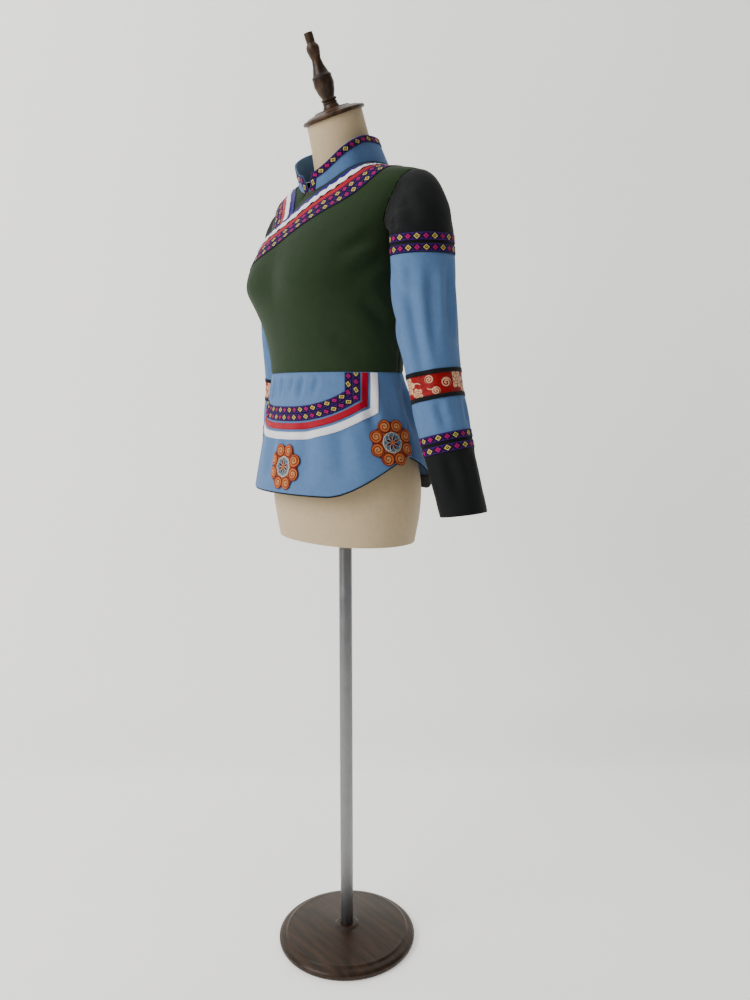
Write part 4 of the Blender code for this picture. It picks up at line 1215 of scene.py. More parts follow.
def medallion_edge(angle):
    """Outline of a medallion: a disc with a round lobe at every petal."""
    step = 2 * math.pi / MEDALLION_PETALS
    off = (angle % step) - step / 2
    inside = np.maximum(PETAL_ROUND**2 - (PETAL_RING * np.sin(off)) ** 2, 0.0)
    return np.maximum(PETAL_RING * np.cos(off) + np.sqrt(inside), MEDALLION_DISC)


def embroidery(x, y):
    """Height of the medallion's threads, from 0 to 1: curls in the lobes, and a star in the middle."""
    angle, radius = np.arctan2(y, x), np.hypot(x, y)
    step = 2 * math.pi / MEDALLION_PETALS
    petal = np.floor(angle / step)
    off = angle - (petal + 0.5) * step
    hand = np.where(petal % 2 > 0, -1.0, 1.0)
    px, py = radius * np.cos(off) - PETAL_RING, radius * np.sin(off) * hand
    turn, away = np.arctan2(py, px) / (2 * math.pi), np.hypot(px, py)
    coil = np.abs((away / CURL_PITCH - turn) % 1 - 0.5) * 2
    curl = ramp(coil, 0.25, 0.7) * (1 - ramp(away, PETAL_ROUND - 0.001, PETAL_ROUND))
    point = STAR_WIDE * np.sin(math.pi * np.clip((radius - STAR_FROM) / STAR_LONG, 0, 1))
    star = 1 - ramp(np.abs(off) * radius, point * 0.6, point + 0.0003)
    ring = 1 - ramp(np.abs(radius - 0.0165), 0.0005, 0.0013)
    return np.maximum(np.maximum(curl, star * (radius < 0.0148)), 0.7 * ring)


class TUNIC_OT_medallions(bpy.types.Operator):
    """Lay the embroidered medallions on the peplum's front"""

    bl_idname = "tunic.medallions"
    bl_label = "Medallions"

    def execute(self, context):
        sew = context.scene.tunic_cloth
        for node, turn, z in MEDALLIONS:
            centre = on_sections(TUNIC_SECTIONS, turn, z)
            normal = outward(centre[None, :])[0]
            across = unit(np.cross([0.0, 0.0, 1.0], normal))
            up = np.cross(normal, across)

            def place(u, v):
                angle = u * 2 * math.pi
                radius = v**0.85 * medallion_edge(angle)
                away = np.cos(angle)[:, None] * across + np.sin(angle)[:, None] * up
                points = march(np.tile(centre, (len(u), 1)), away, radius[:, None])
                relief = embroidery(radius * np.cos(angle), radius * np.sin(angle))
                rim = 1 - ramp(v, 0.97, 1.0)
                lift = sew.medallion_lift + body_creases(points) + sew.relief * relief * rim
                return points + outward(points) * lift[:, None]

            bm = sheet_grid(240, 52, place, (1, 1), closed=True)
            look_out(bm)
            chart_flat(bm, centre, across, up)
            look, under = medallion_look("medallion_embroidery"), ["peplum_front_cloth"]
            finish_cloth(node, bm, sew.ribbon_cloth, look, "medallion")
        return {"FINISHED"}


def chart_flat(bm, centre, across, up):
    """Charts a patch by each corner's place beside its centre."""
    layer = bm.loops.layers.uv["cloth"]
    for face in bm.faces:
        for loop in face.loops:
            away = loop.vert.co - Vector(centre)
            loop[layer].uv = (away.dot(Vector(across)), away.dot(Vector(up)))


# Collar


def collar_top(turn):
    return read_round(COLLAR_TOP, turn)


def collar_ends(share):
    """Turn at which the collar's end stands, at a share of its height."""
    return COLLAR_END_BASE + (COLLAR_END_TOP - COLLAR_END_BASE) * share


def collar_trim_line():
    """The outline that the collar's trim follows, as length round the collar and height."""
    start = collar_ends(1.0)
    turns = np.linspace(start, 2 * math.pi - start, 27)
    top = np.column_stack([turns * COLLAR_RADIUS, collar_top(turns) - COLLAR_TRIM_TOP])
    foot = collar_ends(COLLAR_TRIM_FOOT / collar_top(start)) * COLLAR_RADIUS
    ends = [[(x, COLLAR_TRIM_FOOT)] for x in (foot, 2 * math.pi * COLLAR_RADIUS - foot)]
    return np.vstack([ends[0], top, ends[1]])


class TUNIC_OT_collar(bpy.types.Operator):
    """Make the stand collar and the woven trim along its edges"""

    bl_idname = "tunic.collar"
    bl_label = "Collar"

    def execute(self, context):
        sew = context.scene.tunic_cloth

        def place(u, v):
            ends = collar_ends(v)
            turn = ends + u * (2 * math.pi - 2 * ends)
            return collar_surface(turn, v * (collar_top(turn) + COLLAR_SEWN_IN) - COLLAR_SEWN_IN)

        bm = sheet_grid(200, 18, place, (COLLAR_CHART_WIDTH, COLLAR_HEIGHT))
        face_out(bm, NECK_CENTRE)
        look = cloth_look("light_blue_cotton", "blue", 0.0010)
        finish_cloth("collar", bm, sew.body_cloth, look, "blue")

        line = collar_trim_line()
        tangents, after = tangents_of(line)
        inward = np.column_stack([tangents[:, 1], -tangents[:, 0]])
        inward /= np.einsum("ij,ij->i", tangents, after)[:, None]
        bm = bmesh.new()
        start = 0.0
        for part, count in ((slice(0, 2), 12), (slice(1, -1), 180), (slice(-2, None), 12)):
            rows = []
            for share in np.linspace(0, 1, 6):
                around, height = smooth_line((line + inward * share * COLLAR_TRIM)[part], count).T
                rows.append(collar_surface(around / COLLAR_RADIUS, height, out=COLLAR_TRIM_LIFT))
            start += strip_from_rows(bm, rows, start)
        bmesh.ops.remove_doubles(bm, verts=bm.verts, dist=MERGE_RIBBON)
        face_out(bm, NECK_CENTRE)
        look, under = ribbon_look("woven"), ["collar_cloth"]
        finish_cloth("collar_trim", bm, sew.ribbon_cloth, look, "woven")
        return {"FINISHED"}


# Sleeves


def sleeve_tube(
    node, side, top, bottom, lift, thickness, look, slot, repeat=0.0, shift=0.0
):
    """A tube of a sleeve between two heights of the arm's centre line."""
    rows = max(3, math.ceil((top - bottom) / SLEEVE_STEP))
    middle = (top + bottom) / 2
    table = LEFT_ARM if side > 0 else RIGHT_ARM
    x, y, half, deep = read_table(table, min(middle, BICEP_Z))
    girth = math.pi * (half * (1 + INNER_SHARE) / 2 + deep)
    if repeat:
        girth = round(girth / repeat) * repeat

    def place(u, v):
        return sleeve_surface(side, u * 2 * math.pi, bottom + v * (top - bottom))

    bm = bmesh.new()
    layer = bm.verts.layers.float.new("move")
    span = float(np.linalg.norm(np.diff(place(np.array([0.0, 0.0]), np.array([0.0, 1.0])), axis=0)))

    def chart(u, v):
        return (shift + u * girth, v * span)

    made = add_grid(bm, SLEEVE_COLUMNS, rows, place, chart)
    levels = np.repeat(np.linspace(0, 1, rows + 1), SLEEVE_COLUMNS + 1)
    phi = np.tile(np.linspace(0, 2 * math.pi, SLEEVE_COLUMNS + 1), rows + 1)
    height = bottom + levels * (top - bottom)
    around = (phi + math.pi) % (2 * math.pi) - math.pi
    deep_in = crease_depth(SLEEVE_CREASES, around, height, SLEEVE_ROUND)
    deep_in = deep_in * (1 - ramp(height, 1.40, 1.425)) * ramp(height, CUFF_Z, CUFF_Z + 0.020)
    for vert, amount in zip(made, deep_in):
        vert[layer] = lift - bpy.context.scene.tunic_cloth.creases * float(amount)
    bmesh.ops.remove_doubles(bm, verts=bm.verts, dist=MERGE)
    face_out(bm, (x, y, middle))
    along_normals(bm, [v[layer] for v in bm.verts])
    return finish_cloth(node, bm, thickness, look, slot)


class TUNIC_OT_sleeves(bpy.types.Operator):
    """Make both sleeves from their bands, with the trims round them"""

    bl_idname = "tunic.sleeves"
    bl_label = "Sleeves"

    def execute(self, context):
        sew = context.scene.tunic_cloth
        looks = {
            "black": cloth_look("black_suiting", "black", 0.0011, 1.0),
            "blue": cloth_look("light_blue_cotton", "blue", 0.0010),
            "brocade": brocade_look("red_brocade"),
            "woven": ribbon_look("woven"),
        }
        for side, word in ((1, "left"), (-1, "right")):
            for index, (ribbon, cloth, top, bottom) in enumerate(SLEEVE_RIBBONS):
                repeat = WOVEN_REPEAT if cloth == "woven" else 0.0
                shift = 0.5 * WOVEN_REPEAT * (index % 2)
                sleeve_tube(
                    f"{word}_{ribbon}", side, top, bottom, sew.ribbon_lift, sew.ribbon_cloth,
                    looks[cloth], cloth, repeat, shift,
                )
            for piece, cloth, top, bottom, _ in SLEEVE_PIECES:
                high = top if top == SHOULDER_Z else top - SEAM_GAP / 2
                low = bottom if bottom == CUFF_Z else bottom + SEAM_GAP / 2
                sleeve_tube(
                    f"{word}_{piece}", side, high, low, 0.0, sew.body_cloth, looks[cloth], cloth,
                )
        return {"FINISHED"}


# The dress form and its stand


class TUNIC_OT_form(bpy.types.Operator):
    """Make the limbless form, with its linen cover"""

    bl_idname = "tunic.form"
    bl_label = "Dress form"

    def execute(self, context):
        heights = even_heights(FORM_SECTIONS, FORM_BOTTOM_Z, FORM_TOP, FORM_ROWS)
        lean = Vector((0, -math.sin(NECK_LEAN), math.cos(NECK_LEAN)))
        levels = np.linspace(0, 1, FORM_ROWS + 1)

        def place(u, v):
            return on_sections(FORM_SECTIONS, (u - 0.5) * 2 * math.pi, np.interp(v, levels, heights))

        bm = sheet_grid(FORM_COLUMNS, FORM_ROWS, place, (0.9, 0.8), closed=True)
        geom = [*bm.verts, *bm.edges, *bm.faces]
        bmesh.ops.bisect_plane(bm, geom=geom, plane_co=NECK_TOP, plane_no=lean, clear_outer=True)
        rims = [e for e in bm.edges if len(e.link_faces) == 1]
        bmesh.ops.holes_fill(bm, edges=rims, sides=0)
        bmesh.ops.recalc_face_normals(bm, faces=bm.faces)
        finish_piece("form_body_cover", bm, "form_body", linen_look("form_linen"), "form_cloth")
        return {"FINISHED"}


def turned(name, node, profile, look, slot, place):
    """A closed body turned about an axis from its profile, with softened edges."""
    bm = bmesh.new()
    points = [(0.0, profile[0][1]), *profile, (0.0, profile[-1][1])]
    verts = [bm.verts.new((r, 0, z)) for r, z in points]
    edges = [bm.edges.new(pair) for pair in zip(verts[:-1], verts[1:])]
    bmesh.ops.spin(
        bm, geom=[*verts, *edges], axis=(0, 0, 1), cent=(0, 0, 0),
        angle=2 * math.pi, steps=TURN_STEPS, use_merge=True,
    )
    bmesh.ops.remove_doubles(bm, verts=bm.verts, dist=MERGE)
    bmesh.ops.recalc_face_normals(bm, faces=bm.faces)
    rings = [e for e in bm.edges if abs(e.verts[0].co.z - e.verts[1].co.z) < 1e-7]
    rings = [e for e in rings if len(e.link_faces) == 2 and e.calc_face_angle(0) > math.radians(16)]
    bmesh.ops.bevel(
        bm, geom=rings, offset=EDGE_ROUNDING, offset_type="OFFSET", affect="EDGES",
        segments=3, profile=0.5, material=-1, clamp_overlap=True,
    )
    bmesh.ops.transform(bm, matrix=place, verts=bm.verts)
    return finish_piece(name, bm, node, look, slot)


class TUNIC_OT_stand(bpy.types.Operator):
    """Turn the base, pole, neck cap and finial"""

    bl_idname = "tunic.stand"
    bl_label = "Stand"

    def execute(self, context):
        here = Matrix.Identity(4)
        board = wood_look("dark_base_board", (0.10, 1.0, 1.0), 0.45)
        wood = wood_look("dark_turned_wood", (1.0, 1.0, 0.14), 1.0)
        turned("base_turned", "base", BASE_PROFILE, board, "dark_wood", here)
        pole = [(POLE_RADIUS, FORM_BOTTOM_Z - 0.0003), (POLE_RADIUS, BASE_PROFILE[0][1] + 0.0003)]
        turned("pole_tube", "pole", pole, steel_look("satin_steel"), "steel", here)
        lean = Matrix.Rotation(NECK_LEAN, 4, "X")
        cap = Matrix.Translation(NECK_TOP) @ lean
        turned("neck_cap_turned", "neck_cap", CAP_PROFILE, wood, "dark_wood", cap)
        finial = cap @ Matrix.Translation((0, 0, FINIAL_START))
        turned("finial_turned", "finial", FINIAL_PROFILE, wood, "dark_wood", finial)
        return {"FINISHED"}


# Shader building


class Field:
    """An output of a node tree, with arithmetic that adds Math nodes."""

    def __init__(self, tree, socket):
        self.tree, self.socket = tree, socket

    def do(self, operation, *others, clamp=False):
        node = self.tree.nodes.new("ShaderNodeMath")
        node.operation, node.use_clamp = operation, clamp
        for slot, value in zip(node.inputs, (self, *others)):
            plug(slot, value)
        return Field(self.tree, node.outputs[0])

    def __add__(self, other):
        return self.do("ADD", other)

    def __sub__(self, other):
        return self.do("SUBTRACT", other)

    def __mul__(self, other):
        return self.do("MULTIPLY", other)

    def __truediv__(self, other):
        return self.do("DIVIDE", other)

    def size(self):
        return self.do("ABSOLUTE")

    def part(self):
        """What is left over after whole numbers, from 0 to 1."""
        return self.do("FLOORED_MODULO", 1.0)

    def wave(self, length):
        return (self * (2 * math.pi / length)).do("SINE")

    def stripes(self, length):
        """A wave from 0 to 1."""
        return self.wave(length) * 0.5 + 0.5

    def held(self):
        """Kept between 0 and 1."""
        return self.do("ADD", 0.0, clamp=True)

    def under(self, edge, soft):
        """1 where this is below the edge and 0 above it, soft across the given width."""
        if isinstance(edge, Field):
            return ((edge - self) / soft).do("ADD", 0.5, clamp=True)
        return (self * (-1 / soft)).do("ADD", edge / soft + 0.5, clamp=True)

    def near(self, place, half, soft):
        """1 within half a width of a place, and 0 beyond."""
        return (self - place).size().under(half, soft)

    def flip(self):
        return self.do("MULTIPLY", -1.0).do("ADD", 1.0)

    def over(self, other):
        return self.do("MAXIMUM", other)


def plug(socket, value):
    if isinstance(value, Field):
        value.tree.links.new(value.socket, socket)
    else:
        socket.default_value = value


def blend(share, first, second):
    """A colour between two, each a colour or a Field."""
    node = share.tree.nodes.new("ShaderNodeMix")
    node.data_type = "RGBA"
    plug(node.inputs[0], share)
    for socket, value in ((node.inputs[6], first), (node.inputs[7], second)):
        plug(socket, value if isinstance(value, Field) else (*value, 1))
    return Field(share.tree, node.outputs[2])


def split(vector):
    node = vector.tree.nodes.new("ShaderNodeSeparateXYZ")
    plug(node.inputs[0], vector)
    return [Field(vector.tree, output) for output in node.outputs]


def away_and_angle(x, y):
    """Distance from the middle and direction, of a place given by its x and y."""
    return ((x * x) + (y * y)).do("SQRT"), y.do("ARCTAN2", x)


def cloth_chart(tree):
    """Places along and across the cloth, in metres, and the chart they come from."""
    node = tree.nodes.new("ShaderNodeUVMap")
    node.uv_map = "cloth"
    chart = Field(tree, node.outputs[0])
    along, across, _ = split(chart)
    return along, across, chart


def object_place(tree):
    node = tree.nodes.new("ShaderNodeTexCoord")
    return Field(tree, node.outputs["Object"])


def cloud(vector, scale, detail):
    node = vector.tree.nodes.new("ShaderNodeTexNoise")
    node.inputs["Scale"].default_value = scale
    node.inputs["Detail"].default_value = detail
    plug(node.inputs["Vector"], vector)
    return Field(vector.tree, node.outputs["Fac"])


def group(name, inputs, outputs, fill):
    """A node group with named sockets, filled once and then shared."""
    tree = bpy.data.node_groups.get(name)
    if tree is None:
        tree = bpy.data.node_groups.new(name, "ShaderNodeTree")
        for label, kind in inputs:
            tree.interface.new_socket(name=label, in_out="INPUT", socket_type=kind)
        for label in outputs:
            tree.interface.new_socket(name=label, in_out="OUTPUT", socket_type="NodeSocketFloat")
        start, end = tree.nodes.new("NodeGroupInput"), tree.nodes.new("NodeGroupOutput")
        made = fill(*[Field(tree, start.outputs[label]) for label, _ in inputs])
        for label, value in zip(outputs, made):
            plug(end.inputs[label], value)
    return tree


def use_group(tree, shared, *values):
    node = tree.nodes.new("ShaderNodeGroup")
    node.node_tree = shared
    for socket, value in zip(node.inputs, values):
        plug(socket, value)
    return [Field(tree, output) for output in node.outputs]


FLOAT, VECTOR = "NodeSocketFloat", "NodeSocketVector"


def weave(tree, along, across, thread, twill):
    """Threads over and under each other; twill turns them into slanting ribs. Its second output is
    painted shade, darker where the threads lie low and lighter on their tops.
    """

    def fill(along, across, thread, twill):
        warp = (along / thread * math.pi).do("SINE")
        weft = (across / thread * math.pi).do("SINE")
        plain = (warp * weft) * 0.5 + 0.5
        ribs = ((along + across) / thread * math.pi).do("SINE") * 0.5 + 0.5
        height = plain * twill.flip() + ribs * twill
        # Painted shade: the colour is darker where the threads lie low and lighter on their tops.
        return height, height * 0.30 + 0.85

    sockets = [("Along", FLOAT), ("Across", FLOAT), ("Thread", FLOAT), ("Twill", FLOAT)]
    shared = group("Weave", sockets, ("Height", "Shade"), fill)
    return use_group(tree, shared, along, across, thread, twill)


def wear(tree, place):
    """Slow changes of tone over the cloth, the slubs of single threads, and small crumples."""

    def fill(place):
        slow = cloud(place, 9.0, 2.0)
        fine = cloud(place, 120.0, 4.0)
        slub = (cloud(place, 900.0, 1.0) * 0.5) + (fine * 0.5)
        return slow * 0.55 + fine * 0.45, slub, cloud(place, 34.0, 3.0)

    shared = group("Cloth wear", [("Place", VECTOR)], ("Tone", "Slub", "Crumple"), fill)
    return use_group(tree, shared, place)


def stitches(tree, along, across, row):
    """A row of stitches at a place across the cloth."""

    def fill(along, across, row, length):
        dash = (along / length).part().under(0.72, 0.10)
        return ((across - row).size().under(0.00028, 0.00020) * dash,)

    sockets = [("Along", FLOAT), ("Across", FLOAT), ("Row", FLOAT), ("Length", FLOAT)]
    return use_group(tree, group("Stitches", sockets, ("Mask",), fill), along, across, row, 0.0030)[0]


def made_once(fill):
    """Lets a function that fills a material's tree make each material the first time it's named."""

    @functools.wraps(fill)
    def look(name, *values):
        made = bpy.data.materials.get(name)
        if made is None:
            made = bpy.data.materials.new(name)
            made.use_nodes = True
            fill(made.node_tree, made.node_tree.nodes["Principled BSDF"], *values)
        return made

    return look


def raise_surface(shader, height, distance, strength):
    bump = height.tree.nodes.new("ShaderNodeBump")
    bump.inputs["Distance"].default_value = distance
    bump.inputs["Strength"].default_value = strength
    plug(bump.inputs["Height"], height)
    plug(shader.inputs["Normal"], Field(height.tree, bump.outputs[0]))


def shades(colour, low, high):
    return tuple(c * low for c in colour), tuple(min(c * high, 1.0) for c in colour)


def cloth_colours(*names):
    return [tuple(getattr(bpy.context.scene.tunic_colours, name)) for name in names]


@made_once
def cloth_look(tree, shader, colour_name, thread, twill=0.0):
    """Matt woven cloth, its colour darkened between the threads by the weave's painted shade."""
    (colour,) = cloth_colours(colour_name)
    along, across, _ = cloth_chart(tree)
    height, painted_shade = weave(tree, along, across, thread, twill)
    tone, slub, crumple = wear(tree, object_place(tree))
    dark, light = shades(colour, 0.74, 1.26)
    # The weave's painted shade darkens the colour where the threads lie low; tone and slubs are the
    # cloth's own uneven colour.
    plug(shader.inputs["Base Color"], blend((tone * 0.7 + slub * 0.3) * painted_shade, dark, light))
    plug(shader.inputs["Roughness"], slub * 0.16 + 0.74)
    shader.inputs["Sheen Weight"].default_value = 0.06
    shader.inputs["Sheen Roughness"].default_value = 0.45
    shader.inputs["Specular IOR Level"].default_value = 0.18
    raise_surface(shader, height * 0.22 + slub * 0.25 + crumple * 1.6, 0.0011, 0.8)


@made_once
def satin_look(tree, shader, colour_name):
    """Ribbon with fine cross ribs and a row of stitches along both edges; the ribs also lighten the
    colour on their tops and darken it between them, which is painted light and shade.
    """
    (colour,) = cloth_colours(colour_name)
    along, across, _ = cloth_chart(tree)
    tone, slub, crumple = wear(tree, object_place(tree))
    ribs = along.stripes(0.0013)
    sewn = stitches(tree, along, across, 0.0011).over(stitches(tree, along, across, 0.0099))
    dark, light = shades(colour, 0.78, 1.16)
    # The ribs make the colour lighter on their tops and darker between them: painted light and shade.
    # Tone and slubs are the ribbon's own uneven colour.
    base = blend(tone * 0.6 + ribs * 0.25 + slub * 0.15, dark, light)
    plug(shader.inputs["Base Color"], blend(sewn * 0.6, base, dark))
    plug(shader.inputs["Roughness"], slub * 0.2 + 0.42)
    shader.inputs["Sheen Weight"].default_value = 0.02
    shader.inputs["Specular IOR Level"].default_value = 0.14
    raise_surface(shader, ribs * 0.3 + crumple * 1.2 - sewn * 0.6, 0.0006, 0.8)


@made_once
def woven_look(tree, shader):
    """Jacquard ribbon: outlined diamonds and filled ones in turn, between two edge threads."""
    navy, cream, magenta, lilac = cloth_colours("navy", "cream", "magenta", "lilac")
    along, across, _ = cloth_chart(tree)
    tone, slub, _ = wear(tree, object_place(tree))
    far = ((along / WOVEN_REPEAT).part() - 0.5).size() * WOVEN_REPEAT
    near = (far * -1.0) + WOVEN_REPEAT / 2
    lift = (across - WOVEN_MIDDLE).size()
    # Distance from the centre of each diamond, counted in half diagonals.
    outlined = far / 0.0052 + lift / 0.0046
    filled = near / 0.0050 + lift / 0.0044
    soft = 0.12
    outline = outlined.under(1.0, soft) * outlined.under(0.60, soft).flip()
    seed = outlined.under(0.20, soft)
    solid = filled.under(1.0, soft)
    notch = filled.under(0.34, soft)
    # Small wedges that point in from both edges, midway between the diamonds.
    aside = (far - WOVEN_REPEAT / 4).size()
    wedge = (aside / 0.0030 - (lift - 0.0012) / 0.0034).under(0.0, 0.25) * lift.under(0.0046, 0.0004)
    edge = lift.near(0.0053, 0.00042, 0.0003)
    threads = along.stripes(0.00075)
    base = blend(wedge * 0.5, navy, lilac)
    base = blend(edge, base, lilac)
    base = blend(solid, base, magenta)
    base = blend(notch * 0.8, base, tuple(c * 0.45 for c in magenta))
    base = blend(outline.over(seed), base, cream)
    # Painted shade between the threads, which darkens the colour where they lie low, mixed with the
    # ribbon's own uneven tone.
    painted_shade_and_tone = blend(threads * 0.5 + tone * 0.5, (0.62, 0.62, 0.62), (1.0, 1.0, 1.0))
    mixed = tree.nodes.new("ShaderNodeMix")
    mixed.data_type, mixed.blend_type = "RGBA", "MULTIPLY"
    mixed.inputs[0].default_value = 1.0
    plug(mixed.inputs[6], base)
    plug(mixed.inputs[7], painted_shade_and_tone)
    plug(shader.inputs["Base Color"], Field(tree, mixed.outputs[2]))
    plug(shader.inputs["Roughness"], slub * 0.2 + 0.60)
    shader.inputs["Sheen Weight"].default_value = 0.02
    shader.inputs["Specular IOR Level"].default_value = 0.10
    raise_surface(shader, outline.over(solid).over(edge) + threads * 0.35, 0.0004, 0.9)


def curl_mask(x, y, pitch, size, line):
    """A spiral line of the given pitch inside a circle, and the distance from its middle."""
    away, angle = away_and_angle(x, y)
    coil = ((away / pitch) - angle * (1 / (2 * math.pi))).part() - 0.5
    return coil.size().under(line / pitch, 0.10) * away.under(size, 0.0005), away


@made_once
def medallion_look(tree, shader):
    """Embroidered medallion: curled petals round a ring, with a star in the middle."""
    peach, rust, teal, blue, gold, navy = cloth_colours("peach", "rust", "teal", "blue", "gold", "navy")
    cream, knot = (0.62, 0.56, 0.48), (0.05, 0.02, 0.015)
    soft = 0.0004
    x, y, _ = cloth_chart(tree)
    radius, angle = away_and_angle(x, y)
    step = 2 * math.pi / MEDALLION_PETALS
    sector = (angle * (1 / step)).do("FLOOR")
    off = angle - (sector + 0.5) * step
    # Curls turn one way and the other in turn.
    hand = (sector * 0.5).part() * -4.0 + 1.0
    px = radius * off.do("COSINE") - PETAL_RING
    py = radius * off.do("SINE") * hand
    coil, away = curl_mask(px, py, 0.0050, PETAL_ROUND - 0.0008, 0.00070)
    petal = away.under(PETAL_ROUND + 0.0002, 0.0005)
    rim = petal * away.under(PETAL_ROUND - 0.0014, 0.0005).flip()
    pale = away.under(0.0052, 0.0020)
    side = (off.do("SINE") * radius).size()
    lens = (((radius - STAR_FROM) * (1 / STAR_LONG)).held() * math.pi).do("SINE") * STAR_WIDE
    star = (side - lens).under(0.0, soft) * radius.under(0.0146, soft)
    outline = (side - lens).under(0.0007, soft) * radius.under(0.0150, soft)
    lattice = ((off * (2 / step)).size() * 0.0042 + 0.0136 - radius).size().under(0.00055, soft)
    ring = radius.near(0.0176, 0.0006, soft).over(lattice)
    ground = blend(radius.under(0.0300, 0.0008), rust, tuple(c * 0.6 for c in peach))
    base = blend(radius.under(0.0182, soft), ground, tuple(c * 0.75 for c in blue))
    base = blend(radius.near(0.0155, 0.0020, 0.0006) * 0.85, base, teal)
    base = blend(ring, base, cream)
    base = blend(petal, base, blend(pale, peach, gold))
    base = blend((coil * petal).over(rim), base, rust)
    base = blend(outline, base, cream)
    second = (sector * 0.5).part().under(0.25, 0.01)
    base = blend(star, base, blend(second, navy, rust))
    base = blend(radius.under(0.0036, 0.0005), base, peach)
    floss = (x * 0.8 + y).stripes(0.0009)
    tone = cloud(object_place(tree), 260.0, 3.0)
    plug(shader.inputs["Base Color"], blend(floss * 0.22 + tone * 0.16, base, knot))
    plug(shader.inputs["Roughness"], tone * 0.2 + 0.52)
    shader.inputs["Sheen Weight"].default_value = 0.02
    shader.inputs["Specular IOR Level"].default_value = 0.14
    raise_surface(shader, (petal * coil.flip()).over(outline) + floss * 0.35, 0.0005, 0.9)


@made_once
def brocade_look(tree, shader):
    """Red brocade with golden rosettes, curls and broken stems."""
    red, gold = cloth_colours("brocade", "gold")
    along, across, chart = cloth_chart(tree)
    tone, slub, crumple = wear(tree, object_place(tree))

    def motif(x0, y0):
        """Place beside the middle of a figure that repeats along the band."""
        shifted = (along * (1 / BROCADE_REPEAT) - x0 / BROCADE_REPEAT + 0.5).part() - 0.5
        return shifted * BROCADE_REPEAT, across - y0

    stem_y = along.wave(BROCADE_REPEAT / 2) * 0.0068 + 0.0190
    stem = (across - stem_y).size().under(0.00085, 0.0005)
    figures = stem * (along * (1 / 0.024)).part().near(0.5, 0.30, 0.03)
    for x0, y0, size, hand in BROCADE_CURLS:
        x, y = motif(x0, y0)
        figures = figures.over(curl_mask(x * hand, y, size * 0.52, size, 0.00095)[0])
    lines = None
    for x0, y0, size, petals in BROCADE_FLOWERS:
        away, angle = away_and_angle(*motif(x0, y0))
        lobe = (angle * (petals / 2)).do("COSINE").size() * (0.30 * size) + 0.70 * size
        flower = (away - lobe).under(0.0, 0.0005)
        inner = (away - lobe * 0.62).size().under(0.00055, 0.0004)
        spoke = (angle * petals).do("COSINE").under(-0.86, 0.10) * away.under(size * 0.2, 0.0005).flip()
        marks = inner.over(away.near(size * 0.2, 0.0006, 0.0004)).over(spoke) * flower
        figures = figures.over(flower)
        lines = lines.over(marks) if lines else marks
    damask = cloud(chart, 210.0, 2.0).under(0.5, 0.05)
    ground = blend(damask * 0.30 + tone * 0.25, red, tuple(c * 0.35 for c in red))
    base = blend(figures, ground, blend(slub, gold, (0.70, 0.50, 0.36)))
    plug(shader.inputs["Base Color"], blend(lines * 0.85, base, (0.22, 0.030, 0.018)))
    plug(shader.inputs["Roughness"], damask * 0.14 + 0.40)
    shader.inputs["Sheen Weight"].default_value = 0.02
    shader.inputs["Specular IOR Level"].default_value = 0.16
    threads = (along + across).stripes(0.0008)
    raise_surface(shader, figures * 0.9 - lines * 0.6 + threads * 0.25 + crumple, 0.0005, 0.8)


@made_once
def linen_look(tree, shader):
    """Plain natural linen with slubs, its colour darkened between the threads by the weave's painted
    shade.
    """
    colour = tuple(bpy.context.scene.tunic_stand.linen)
    place = object_place(tree)
    x, y, z = split(place)
    height, painted_shade = weave(tree, x + y * 0.7, z, 0.0011, 0.0)
    tone, slub, crumple = wear(tree, place)
    dark, light = shades(colour, 0.80, 1.18)
    # The weave's painted shade darkens the colour where the threads lie low; tone and slubs are the
    # linen's own uneven colour.
    plug(shader.inputs["Base Color"], blend((tone * 0.6 + slub * 0.4) * painted_shade, dark, light))
    plug(shader.inputs["Roughness"], slub * 0.12 + 0.80)
    shader.inputs["Sheen Weight"].default_value = 0.15
    raise_surface(shader, height * 0.3 + slub * 0.4 + crumple * 0.6, 0.0008, 0.7)


@made_once
def wood_look(tree, shader, stretched, contrast):
    """Dark turned wood with a thin polish, its streaks running where its scale is small."""
    stand = bpy.context.scene.tunic_stand
    place = object_place(tree)
    stretch = tree.nodes.new("ShaderNodeMapping")
    stretch.inputs["Scale"].default_value = stretched
    plug(stretch.inputs["Vector"], place)
    long_way = Field(tree, stretch.outputs[0])
    streak = cloud(long_way, 95.0, 6.0)
    pores = cloud(long_way, 620.0, 2.0)
    rub = cloud(place, 22.0, 3.0)
    share = ((streak - 0.36) * 2.6).held() * (pores * 0.5 + 0.6) * contrast
    plug(shader.inputs["Base Color"], blend(share, tuple(stand.wood), tuple(stand.grain)))
    plug(shader.inputs["Roughness"], rub * 0.16 + pores * 0.06 + 0.30)
    shader.inputs["Specular IOR Level"].default_value = 0.22
    shader.inputs["Coat Weight"].default_value = 0.08
    shader.inputs["Coat Roughness"].default_value = 0.16
    raise_surface(shader, streak * 0.3 + pores * 0.25, 0.0004, 0.5)


@made_once
def steel_look(tree, shader):
    """Satin steel tube with fine lines round it."""
    colour = tuple(bpy.context.scene.tunic_stand.steel)
    place = object_place(tree)
    _, _, z = split(place)
    lines = z.stripes(0.0011)
    rub = cloud(place, 45.0, 4.0)
    dark, light = shades(colour, 0.82, 1.15)
    plug(shader.inputs["Base Color"], blend(rub, dark, light))
    shader.inputs["Metallic"].default_value = 1.0
    plug(shader.inputs["Roughness"], rub * 0.18 + lines * 0.05 + 0.28)
    raise_surface(shader, lines, 0.00005, 0.5)


